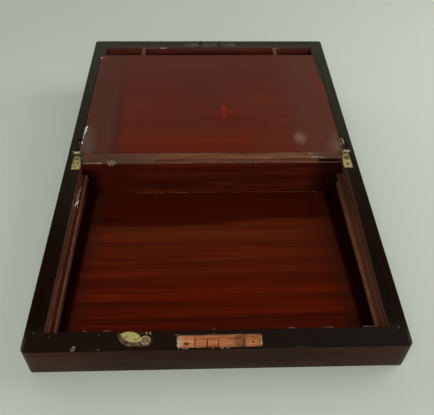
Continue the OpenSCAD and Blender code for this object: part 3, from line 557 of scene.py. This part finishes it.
brasses = {
    "bright": brassMaterial("brightBrass", brightLook),
    "leaf": brassMaterial("leafBrass", brightLook, leafOverlay),
    "knuckle": brassMaterial("knuckleBrass", knuckleLook),
    "polished": brassMaterial("polishedBrass", dict(brightLook, clean=rgb(216, 200, 160), dull=rgb(188, 170, 130))),
    "boss": brassMaterial("bossBrass", dict(brightLook, clean=rgb(204, 188, 150), dull=rgb(180, 162, 124)), bossOverlay),
    "stud": brassMaterial("studBrass", dict(knuckleLook, clean=rgb(134, 116, 80), dull=rgb(114, 96, 62))),
    "lever": brassMaterial("wornLeverBrass", leverLook),
    "tarnished": brassMaterial("tarnishedBrass", tarnishedLook, inlayOverlay),
    "link": brassMaterial("linkBrass", dict(tarnishedLook, clean=rgb(84, 74, 57), dull=rgb(76, 66, 50),
                                            stained=rgb(64, 54, 40), cloudScale=70.0)),
    "blackened": brassMaterial("blackenedBrass", blackenedLook),
}
print("materials made")


# Bevelled copies of the CAD nodes

def finishPiece(name, bm, body, materials, strips=()):
    mesh = bpy.data.meshes.new(name)
    bm.normal_update()
    for face in bm.faces:
        bends = [edge.calc_face_angle(0) for edge in face.edges
                 if len(edge.link_faces) == 2 and not any(side.index in strips for side in edge.link_faces)]
        face.smooth = face.index in strips or any(0.01 < bend < math.radians(40) for bend in bends)
    for edge in bm.edges:
        edge.smooth = len(edge.link_faces) != 2 or edge.calc_face_angle(0) < math.radians(40)
    bm.to_mesh(mesh)
    bm.free()
    for material in materials:
        mesh.materials.append(material)
    piece = bpy.data.objects.new(name, mesh)
    bpy.context.scene.collection.objects.link(piece)
    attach(piece, body)
    return piece


# A merged copy of a CAD node with softened edges, painted face by face.
def dressNode(node, materials, choose=None, edge=0.4 * mm, shortest=2.5 * mm, cuts=()):
    bm = bmesh.new()
    bm.from_mesh(frame["nodes"][node].data)
    bmesh.ops.remove_doubles(bm, verts=bm.verts, dist=0.005 * mm)
    bmesh.ops.dissolve_limit(bm, angle_limit=math.radians(0.5), verts=bm.verts, edges=bm.edges)
    for place, normal in cuts:
        bmesh.ops.bisect_plane(bm, geom=bm.verts[:] + bm.edges[:] + bm.faces[:], dist=0.001 * mm,
                               plane_co=place, plane_no=normal)
    sharp = [e for e in bm.edges if len(e.link_faces) == 2 and e.calc_length() > shortest
             and e.calc_face_angle(0) > math.radians(30)]
    strips = bmesh.ops.bevel(bm, geom=sharp, affect="EDGES", offset=edge, segments=2, profile=0.5,
                             material=-1, clamp_overlap=True)["faces"]
    bm.normal_update()
    bm.faces.index_update()
    strips = {face.index for face in strips}
    for face in bm.faces:
        if choose:
            face.material_index = choose(face.calc_center_median(), face.normal)
    piece = finishPiece(node + "_dressed", bm, bodyOf[node], materials, strips)
    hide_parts(node)
    return piece


def depthUnderSlope(point):
    return (slopeMatrix.inverted() @ point).z


ledgeDrop = -8 * mm


def chooseLeaf(point, normal):
    knuckle = math.hypot(point.y, point.z - hingeHeight) < 2.7 * mm
    return 1 if knuckle and point.y > -2 * mm and abs(point.x) > 160.4 * mm else 0


def chooseLever(point, normal):
    local = slopeMatrix.inverted() @ point
    return 1 if math.hypot(local.x + 65.6 * mm, local.y + 245.03 * mm) < 4.4 * mm else 0


def chooseInlay(point, normal):
    return 1 if depthUnderSlope(point) > -2.2 * mm and point.y > -0.24 else 0


def chooseSide(point, normal):
    if abs(point.x) < wallInner + 0.3 * mm:
        return 3 if depthUnderSlope(point) > ledgeDrop else 1
    if abs(normal.x) > 0.25 and abs(normal.y) > 0.25:
        return 4
    return 2 if abs(normal.z) < 0.5 else 0


def chooseLidFront(point, normal):
    local = slopeMatrix.inverted() @ point
    insideMortise = abs(point.x - 1 * mm) < 37.6 * mm and abs(local.y + 247.43 * mm) < 5.8 * mm
    if insideMortise and local.z < rim - 0.1 * mm:
        return 2
    if point.y > frontInner - 0.3 * mm:
        return 1
    if abs(normal.x) > 0.2 and abs(normal.z) < 0.5:
        return 4
    return 3 if abs(normal.z) < 0.5 else 0


def chooseRear(point, normal):
    if point.y < rearInner + 0.3 * mm:
        return 1
    return 2 if abs(normal.z) < 0.5 else 0


slopeNormal = slopeMatrix.to_3x3() @ Vector((0, 0, 1))
# The walls' rounded corner faces take a painted greenish sheen.
for node in ("base_left_wall", "base_right_wall", "lid_left_wall", "lid_right_wall"):
    dressNode(node, [woods["caseY"], woods["innerY"], woods["sideY"], woods["wallTop"],
                                woods["corner"]], chooseSide,
              cuts=[(slopeMatrix @ Vector((0, 0, ledgeDrop)), slopeNormal)])
dressNode("base_rear_wall", [woods["caseX"], woods["well"], woods["sideX"]], chooseRear)
dressNode("lid_front_wall", [woods["caseX"], woods["innerX"], woods["bare"], woods["sideX"],
                                        woods["corner"]], chooseLidFront)
dressNode("lid_hinge_wall", [woods["hingeWall"], woods["sideX"], woods["caseX"]],
          lambda point, normal: 1 if normal.y > 0.5 else 2 if normal.z < -0.5 else 0, edge=0.3 * mm)
dressNode("base_hinge_wall", [woods["innerX"], woods["sideX"]],
          lambda point, normal: 1 if normal.y < -0.5 else 0, edge=0.3 * mm)
for node in ("well_front_wall", "pen_tray_floor", "left_ink_well_floor", "right_ink_well_floor"):
    dressNode(node, [woods["innerX"]], edge=0.3 * mm)
for node in ("left_well_divider", "right_well_divider"):
    dressNode(node, [woods["wallTop"]], edge=0.3 * mm)
# The linings' upright faces take the near-black painted shade of the wells' depths.
for node in ("left_well_lining", "right_well_lining"):
    dressNode(node, [woods["lining"], woods["recessShade"]],
              lambda point, normal: 1 if abs(normal.z) < 0.5 else 0, edge=0.3 * mm)
dressNode("base_bottom_panel", [woods["innerX"]])
dressNode("lid_panel", [woods["panel"], woods["lidTop"]],
          lambda point, normal: 1 if normal.z < -0.5 else 0, edge=0.2 * mm)
dressNode("writing_board", [woods["board"], woods["boardUnder"]],
          lambda point, normal: 1 if normal.z < -0.5 else 0, edge=0.5 * mm)
for node in ("left_flap_ledge", "right_flap_ledge"):
    dressNode(node, [woods["ledge"]], edge=0.15 * mm)
# The rail's downward faces take the darker copy as painted shade.
dressNode("flap_hinge_rail", [woods["rail"], woods["railUnderShade"]],
          lambda point, normal: 1 if normal.z < -0.5 else 0, edge=0.15 * mm)
for node in ("left_lid_leaf", "right_lid_leaf"):
    dressNode(node, [brasses["leaf"], brasses["knuckle"]], chooseLeaf, edge=0.15 * mm, shortest=1.2 * mm)
for node in ("left_hinge_pin", "right_hinge_pin"):
    dressNode(node, [brasses["knuckle"]], edge=0.08 * mm)
dressNode("catch_stud", [brasses["stud"]], edge=0.08 * mm)
dressNode("lid_leaf_screws", [brasses["tarnished"], brasses["polished"]],
          lambda point, normal: 1 if point.x < 0 and point.y < -14 * mm else 0, edge=0.08 * mm)
dressNode("catch_lever", [brasses["lever"], brasses["boss"]], chooseLever, edge=0.15 * mm,
          shortest=0.1 * mm)
dressNode("catch_plate_inlay", [brasses["tarnished"], brasses["polished"]], chooseInlay,
          edge=0.1 * mm, shortest=1 * mm)
for node in ("left_base_leaf", "right_base_leaf"):
    dressNode(node, [brasses["blackened"], brasses["knuckle"]], chooseLeaf, edge=0.15 * mm,
              shortest=1.2 * mm)
dressNode("base_leaf_screws", [brasses["blackened"]], edge=0.08 * mm)
dressNode("link_plate", [brasses["link"]], edge=0.2 * mm, shortest=1.2 * mm)
dressNode("link_plate_screws", [brasses["link"]], edge=0.08 * mm)
print("nodes dressed")


# Wear: flakes, worn lines, splinters and old filler, with a painted shadow in the rim's channels and a painted glare on
# the rear rim

levelFloor = Matrix.Translation((0, 0, panelTop))
inlayDepth = 2.6 * mm
hingeFace = Matrix.Translation((0, hingeWallFace, 0)) @ Matrix.Rotation(math.radians(90), 4, "X")
rimPlane = slopeMatrix @ Matrix.Translation((0, 0, rim))


# A thin flake with a ragged outline, in millimetres on its plane.
def addFlake(bm, matrix, rng, x, y, length, width, turn=0.0, thickness=0.08):
    sides = 9 + int(length / width)
    made = bmesh.ops.create_circle(bm, cap_ends=True, segments=sides, radius=0.5 * mm)["verts"]
    for vert in made:
        reach = rng.uniform(0.72, 1.12)
        vert.co.x *= length * reach
        vert.co.y *= width * rng.uniform(0.7, 1.15)
    faces = list({face for vert in made for face in vert.link_faces})
    raised = bmesh.ops.extrude_face_region(bm, geom=faces)["geom"]
    top = [item for item in raised if isinstance(item, bmesh.types.BMVert)]
    bmesh.ops.translate(bm, verts=top, vec=(0, 0, thickness * mm))
    bmesh.ops.scale(bm, verts=top, vec=(0.88, 0.8, 1))
    place = matrix @ Matrix.Translation((x * mm, y * mm, 0)) @ Matrix.Rotation(math.radians(turn), 4, "Z")
    bmesh.ops.transform(bm, matrix=place, verts=made + top)


# A thin ragged strip along a line of points, in millimetres on its plane.
def addStrip(bm, matrix, rng, points, widths, thickness=0.08, lift=None):
    count = len(points) - 1
    made = bmesh.ops.create_grid(bm, x_segments=count, y_segments=1, size=0.5)["verts"]
    for vert in made:
        step = round((vert.co.x + 0.5) * count)
        side = 1 if vert.co.y > 0 else -1
        before, after = Vector(points[max(step - 1, 0)]), Vector(points[min(step + 1, count)])
        along = (after - before).normalized()
        across = Vector((-along.y, along.x)) * side * widths[step] / 2 * rng.uniform(0.75, 1.15)
        raised = lift[step] if lift else 0.0
        vert.co = (Vector((points[step][0] + across.x, points[step][1] + across.y, raised)) * mm)
    faces = list({face for vert in made for face in vert.link_faces})
    shell = bmesh.ops.solidify(bm, geom=faces, thickness=-thickness * mm)["geom"]
    verts = list({item for item in shell if isinstance(item, bmesh.types.BMVert)} | set(made))
    bmesh.ops.transform(bm, matrix=matrix, verts=verts)


def straightLine(x0, y0, x1, y1, count, width, rng, wander=0.0):
    points = []
    for step in range(count + 1):
        share = step / count
        points.append((x0 + (x1 - x0) * share, y0 + (y1 - y0) * share + rng.uniform(-wander, wander)))
    widths = [width * (0.25 if step in (0, count) else rng.uniform(0.6, 1.2)) for step in range(count + 1)]
    return points, widths


def wearPiece(name, body, slotName, material, matrix, flakes=(), lines=(), thickness=0.08, seed=1):
    bm = bmesh.new()
    rng = random.Random(seed)
    for flake in flakes:
        addFlake(bm, matrix, rng, *flake, thickness=thickness)
    for x0, y0, x1, y1, width in lines:
        count = max(2, int(math.dist((x0, y0), (x1, y1)) / 1.6))
        points, widths = straightLine(x0, y0, x1, y1, count, width, rng, wander=0.12 * width)
        addStrip(bm, matrix, rng, points, widths, thickness=thickness)
    bmesh.ops.recalc_face_normals(bm, faces=bm.faces)
    return finishPiece(name, bm, body, [material])


wear = (
    dict(name="boardEdgeFlakes", body="board", slotName="board_wood", material=woods["flake"], matrix=rimPlane, seed=2,
         flakes=((-160.2, 48.6, 6.4, 2.8, 78), (-160.4, 43.4, 5.4, 3.0, 100), (-161.2, 45.6, 7.0, 1.6, 88),
                 (-161.5, 20.4, 5.6, 1.5, 86), (-161.2, 209.6, 4.0, 1.6, 25)),
         lines=((-160.9, 47, -161.2, 35, 1.7), (-161.1, 37, -161.5, 27, 0.9))),
    dict(name="boardSplinters", body="board", slotName="board_wood", material=woods["scrap"], matrix=rimPlane, seed=3,
         flakes=((-160.4, 206.4, 4.4, 1.8, 100), (-157.6, 211.6, 4.0, 1.6, 10), (161.4, 24.4, 4.6, 2.2, 70),
                 (160.8, 14.6, 4.4, 2.2, 100), (160.9, 19.6, 3.0, 1.6, 80))),
    dict(name="rimSplinter", body="base", slotName="case_wood", material=woods["scrap"], matrix=rimPlane, seed=4,
         flakes=((164.9, 22.4, 7.4, 3.8, 96), (164.8, 17.4, 6.4, 3.6, 84))),
    # A near-black strip painted as the shadow in the open channels beside the hinges.
    dict(name="rimChannel", body="base", slotName="case_wood", material=woods["recessShade"], matrix=rimPlane, seed=5,
         lines=((169.3, 23.4, 169.2, 16, 2.2), (169.2, 17.4, 170.0, 5.6, 2.9), (-166.2, 20, -166.6, 13.4, 1.8),
                (-166.4, 14.8, -168.0, 5.6, 2.6)), thickness=0.05),
    dict(name="railRearLine", body="lid", slotName="rail_wood", material=woods["line"], matrix=rimPlane, seed=6,
         lines=((-64, -1.1, -40, -1.0, 0.7), (-25, -1.0, 9, -0.9, 0.7), (20, -8.9, 70, -8.6, 0.6))),
    dict(name="railPaleBand", body="lid", slotName="rail_wood", material=woods["scrap"], matrix=rimPlane, seed=27,
         lines=((92, -7.6, 118, -8.2, 0.9), (114, -8.6, 136.5, -9.4, 2.0), (121, -7.4, 134, -8.2, 0.9)), thickness=0.05),
    dict(name="railKnot", body="lid", slotName="rail_wood", material=woods["splinter"], matrix=rimPlane, seed=26,
         flakes=((119.4, -2.6, 3.0, 2.2, 0),)),
    dict(name="railFrontLine", body="lid", slotName="rail_wood", material=woods["line"],
         matrix=slopeMatrix @ Matrix.Translation((0, 0, -3.48 * mm)), seed=7,
         lines=((-60, -13.3, -12, -13.4, 0.6), (-10, -13.3, 40, -13.4, 1.0), (40, -13.3, 84, -13.4, 1.2),
                (84, -13.2, 112, -13.3, 1.4), (112, -13.3, 128, -13.4, 1.1))),
    dict(name="railLeftLine", body="lid", slotName="rail_wood", material=woods["thread"],
         matrix=slopeMatrix @ Matrix.Translation((0, 0, -3.3 * mm)), seed=8,
         lines=((-157, -14.0, -146, -13.9, 0.8), (-148, -13.8, -133, -13.6, 1.4), (-134, -13.5, -129.4, -13.2, 0.8)),
         thickness=0.14),
    dict(name="wallSpots", body="lid", slotName="inner_wood", material=woods["spot"], matrix=hingeFace, seed=9,
         flakes=((98, 44.6, 2.2, 0.8, 5), (102.5, 44.2, 1.4, 0.7, 0), (108, 44.6, 1.8, 0.8, 10), (112, 44.4, 1.5, 0.8, 0),
                 (117, 45.2, 2.6, 0.9, 30))),
    dict(name="floorLine", body="lid", slotName="inner_wood", material=woods["line"], matrix=levelFloor, seed=10,
         lines=((-97, -14.6, -78, -14.5, 0.5), (-75, -14.6, -60, -14.5, 0.6), (-57, -14.6, -52, -14.5, 0.6),
                (-49, -14.6, -30, -14.5, 0.5), (-26, -14.6, 8, -14.5, 0.25), (12, -14.6, 74, -14.5, 0.2),
                (76, -14.6, 132, -14.5, 0.25))),
    dict(name="floorSpeck", body="lid", slotName="varnished_panel", material=woods["scuff"], matrix=levelFloor, seed=11,
         flakes=((50, -35.3, 1.2, 0.8, 20), (47.8, -36.4, 0.6, 0.4, 0))),
    dict(name="frontKnocks", body="lid", slotName="case_wood", material=woods["scuff"], matrix=rimPlane, seed=12,
         flakes=((-128.9, -253.7, 5.8, 1.8, 0), (-128.6, -252.2, 4.6, 2.4, 0), (-128.3, -250.6, 3.0, 2.2, 0),
                 (-106.6, -253.7, 2.4, 1.0, 160),
                 (-107.5, -239.4, 1.4, 0.9, 0), (-167, -236.5, 1.7, 1.1, 20), (-152, -241, 1.0, 0.8, 0),
                 (166.6, -237.2, 3.2, 0.8, 62), (73, -254.3, 10, 0.4, 0)), thickness=0.06),
    dict(name="rimFrontChips", body="lid", slotName="case_wood", material=woods["line"], matrix=rimPlane, seed=13,
         lines=((-105, -235.7, -97.5, -235.6, 1.1), (-123, -235.5, -119, -235.5, 0.6),
                (64, -235.5, 71, -235.5, 0.8), (96, -235.5, 106, -235.6, 0.5), (133, -235.5, 146, -235.5, 0.7),
                (-6, -235.5, -2, -235.6, 0.5)), thickness=0.06),
    dict(name="ledgeScuff", body="lid", slotName="ledge_wood", material=woods["flake"],
         matrix=slopeMatrix @ Matrix.Translation((0, 0, -8 * mm)), seed=14,
         flakes=((-155.0, -73.4, 4.6, 2.6, 70), (-156.2, -77.2, 2.8, 1.6, 80), (-153.8, -70.4, 3.0, 1.2, 70),
                 (-154.9, -66.6, 2.2, 1.0, 85)), thickness=0.15),
    dict(name="ledgeScratches", body="lid", slotName="ledge_wood", material=woods["filler"],
         matrix=slopeMatrix @ Matrix.Translation((0, 0, -8 * mm)), seed=15,
         lines=((-155.4, -73, -154.4, -58, 0.8), (-156.4, -69, -155.6, -54, 0.6), (-154.5, -58, -154.1, -48, 0.5),
                (-153.0, -82, -153.8, -74, 0.6)), thickness=0.12),
    # A painted glare: a pale line on the rear rim.
    dict(name="rearGlare", body="base", slotName="case_wood", material=woods["flake"], matrix=rimPlane, seed=16,
         lines=((-76, 235.4, -65, 235.6, 1.2),)),
    dict(name="rearLine", body="base", slotName="case_wood", material=woods["scuff"], matrix=rimPlane, seed=17,
         lines=((-104, 235.4, -78, 235.4, 1.1), (96, 235.4, 110, 235.5, 1.0)), flakes=((102.3, 241.8, 4.0, 1.6, 0),)),
    dict(name="mortiseFringe", body="lid", slotName="case_wood", material=woods["fringe"], matrix=rimPlane, seed=18,
         lines=((-37.4, -248, -37.2, -240.8, 0.9), (-36, -241.3, -20, -241.4, 0.8),
                (-22, -241.5, 8, -241.3, 0.7), (6, -241.4, 38, -241.3, 0.9)),
         flakes=((-37.4, -240.4, 4.4, 1.0, 0), (-4.0, -239.6, 2.2, 1.0, 20)), thickness=0.06),
    dict(name="mortiseFlakes", body="lid", slotName="case_wood", material=woods["filler"], matrix=rimPlane, seed=29,
         lines=((-36.4, -252.8, -36.3, -242, 1.6), (38.6, -252.6, 38.7, -241.8, 1.2)), thickness=0.06),
    dict(name="frontFlakes", body="lid", slotName="case_wood", material=woods["scrap"], matrix=rimPlane, seed=30,
         flakes=((-31.6, -254.1, 3.4, 1.1, 0), (-28.6, -253.9, 4.4, 1.5, 5), (-35.6, -254.0, 1.2, 0.8, 0),
                 (-5.0, -253.9, 2.4, 1.0, 0), (3.2, -254.0, 4.6, 1.3, 8), (8.2, -253.9, 4.2, 0.9, 0)), thickness=0.06),
    dict(name="mortiseCracks", body="lid", slotName="case_wood", material=woods["crack"], seed=19,
         matrix=slopeMatrix @ Matrix.Translation((0, 0, -7.6 * mm)),
         lines=((-22.0, -252.8, -22.0, -241.9, 1.3), (-10.2, -252.8, -10.2, -241.9, 0.9), (0.1, -252.8, 0.1, -241.9, 0.6),
                (24.0, -252.8, 24.0, -241.9, 1.0)), thickness=0.1),
    dict(name="leverBorder", body="lid", slotName="case_wood", material=woods["fringe"], matrix=rimPlane, seed=25,
         lines=((-90.9, -238.4, -89.4, -243.2, 0.7), (-89.8, -242.4, -84.6, -248.4, 0.7), (-85.2, -248.0, -79.4, -250.8, 0.5)),
         thickness=0.05),
    dict(name="hingeScuff", body="base", slotName="case_wood", material=woods["scrap"], matrix=rimPlane, seed=28,
         flakes=((170.4, 1.6, 3.4, 1.8, 170), (-170.6, 3.6, 2.6, 1.8, 60), (-169.6, 9.8, 2.0, 1.2, 80)), thickness=0.05),
    dict(name="mortiseStain", body="lid", slotName="case_wood", material=woods["crack"], seed=20,
         matrix=slopeMatrix @ Matrix.Translation((0, 0, rim - 2.5 * mm)),
         flakes=((-29.6, -248.6, 5.0, 1.3, 160), (-27.4, -248.2, 3.0, 1.6, 20)), thickness=0.08),
)
for part in wear:
    wearPiece(**part)


# Old dirt and glue level the rail's steps along its left part.
def railFill():
    bm = bmesh.new()
    rng = random.Random(21)
    slant = slopeMatrix @ Matrix.Translation((0, -12.5 * mm, -1.9 * mm)) @ Matrix.Rotation(math.radians(48), 4, "X")
    for x0, x1, width in ((-156.5, -118, 4.3), (-119, -70, 4.2)):
        points, widths = straightLine(x0, 0, x1, 0, 24, width, rng, wander=0.05)
        addStrip(bm, slant, rng, points, [min(max(w, 0.92 * width), width) for w in widths], thickness=0.15)
    bmesh.ops.recalc_face_normals(bm, faces=bm.faces)
    finishPiece("railFill", bm, "lid", [woods["rail"]])


# A few lifted splinters that hang over the rail's front.
def splinterTuft():
    bm = bmesh.new()
    rng = random.Random(22)
    face = slopeMatrix @ Matrix.Translation((0, -14.05 * mm, 0)) @ Matrix.Rotation(math.radians(90), 4, "X")
    for x0, z0, x1, z1, width in ((-125.2, -3.0, -124.0, -8.4, 0.8), (-124.4, -8.2, -118.8, -6.4, 0.8),
                                  (-126.8, -3.2, -125.6, -6.0, 0.5), (-125.8, -3.9, -117.4, -3.7, 1.1),
                                  (-119.6, -3.4, -121.2, -6.2, 0.6)):
        points, widths = straightLine(x0, z0, x1, z1, 6, width, rng, wander=0.25)
        lift = [0.1 + 0.7 * math.sin(math.pi * step / 6) for step in range(7)]
        addStrip(bm, face, rng, points, widths, thickness=0.12, lift=lift)
    top = slopeMatrix @ Matrix.Translation((0, -12.5 * mm, -1.9 * mm)) @ Matrix.Rotation(math.radians(48), 4, "X")
    for x0, y0, x1, y1, width in ((-128.0, -0.9, -119.4, 0.2, 0.9), (-126.6, 1.4, -123.4, -1.2, 0.7),
                                  (-122.0, 1.7, -121.0, -1.3, 0.6), (-119.6, 0.8, -116.4, -1.4, 0.7),
                                  (-124.6, -1.6, -117.4, -1.5, 0.9)):
        points, widths = straightLine(x0, y0, x1, y1, 5, width, rng, wander=0.2)
        addStrip(bm, top, rng, points, widths, thickness=0.1, lift=[0.1, 0.3, 0.45, 0.4, 0.25, 0.1])
    bmesh.ops.recalc_face_normals(bm, faces=bm.faces)
    finishPiece("splinterTuft", bm, "lid", [woods["filler"]])


# A thin bead glued along the right ledge, which is wider than the left one and widest at its rear end.
def ledgeBead():
    bm = bmesh.new()
    ends = (-44 * mm, -234 * mm)
    bmesh.ops.create_cone(bm, cap_ends=True, segments=16, radius1=2.5 * mm, radius2=1.5 * mm, depth=ends[0] - ends[1])
    lie = slopeMatrix @ Matrix.Translation((148.9 * mm, sum(ends) / 2, -9.9 * mm))
    lie = lie @ Matrix.Rotation(math.radians(0.5), 4, "Z") @ Matrix.Rotation(math.radians(90), 4, "X")
    bmesh.ops.transform(bm, matrix=lie, verts=bm.verts)
    finishPiece("rightLedgeBead", bm, "lid", [woods["ledge"]])


railFill()
splinterTuft()
ledgeBead()
print("wear added")


# Floor, light and camera

def plainFloor():
    bm = bmesh.new()
    bmesh.ops.create_grid(bm, x_segments=1, y_segments=1, size=4.0)
    bmesh.ops.translate(bm, verts=bm.verts, vec=(0, 0, -0.3 * mm))
    mesh = bpy.data.meshes.new("plainFloor")
    bm.to_mesh(mesh)
    bm.free()
    material = bpy.data.materials.new("paleFloor")
    material.use_nodes = True
    shader = material.node_tree.nodes["Principled BSDF"]
    shader.inputs["Base Color"].default_value = (0.545, 0.588, 0.50, 1.0)
    shader.inputs["Roughness"].default_value = 0.85
    shader.inputs["Specular IOR Level"].default_value = 0.2
    mesh.materials.append(material)
    floor = bpy.data.objects.new("plainFloor", mesh)
    bpy.context.scene.collection.objects.link(floor)


studio = dict(
    areas=(
        dict(name="sideLight", place=(1.13, 0.2, 0.8), size=0.8, power=8.0),
        dict(name="frontLight", place=(-0.31, -0.85, 1.07), size=0.8, power=3.3),
    ),
    even=0.11,
    glows=((180, 50, 40, 1.75), (315, 12, 40, 1.3), (0, 12, 40, 0.75), (180, 12, 40, 1.02)),
)


def areaLight(name, place, size, power):
    data = bpy.data.lights.new(name, "AREA")
    data.shape = "SQUARE"
    data.size = size
    data.energy = power
    light = bpy.data.objects.new(name, data)
    light.location = place
    light.rotation_euler = (-Vector(place)).to_track_quat("-Z", "Y").to_euler()
    bpy.context.scene.collection.objects.link(light)


# An even pale sky with wide soft glows, each at a bearing from the rear and a height in degrees.
def studioSky():
    world = bpy.data.worlds.new("studioSky")
    bpy.context.scene.world = world
    world.use_nodes = True
    tree = world.node_tree
    outward = addNode(tree, "TexCoord")["Generated"]
    level = studio["even"]
    for bearing, height, width, strength in studio["glows"]:
        bearing, height = math.radians(bearing), math.radians(height)
        centre = (math.sin(bearing) * math.cos(height), math.cos(bearing) * math.cos(height), math.sin(height))
        facing = addNode(tree, "VectorMath", {0: outward, 1: centre}, operation="DOT_PRODUCT")[1]
        glow = rescale(tree, facing, math.cos(math.radians(width)), 1.0, 0.0, strength, smooth=True)
        level = maths(tree, "ADD", glow, level)
    tree.links.new(level, tree.nodes["Background"].inputs["Color"])


view = dict(
    place=(-13.742 * mm, -486.13 * mm, 425.03 * mm),
    turn=(46.767, -0.776, -1.671),
    lens=40.92, sensor=36.0,
)


def photoCamera():
    data = bpy.data.cameras.new("photoCamera")
    data.lens = view["lens"]
    data.sensor_width = view["sensor"]
    data.clip_start = 0.01
    camera = bpy.data.objects.new("photoCamera", data)
    camera.location = view["place"]
    camera.rotation_euler = [math.radians(angle) for angle in view["turn"]]
    bpy.context.scene.collection.objects.link(camera)
    bpy.context.scene.camera = camera


plainFloor()
for lamp in studio["areas"]:
    areaLight(**lamp)
studioSky()
photoCamera()
bpy.context.scene.view_settings.view_transform = "Standard"
print("floor, lights and camera set")
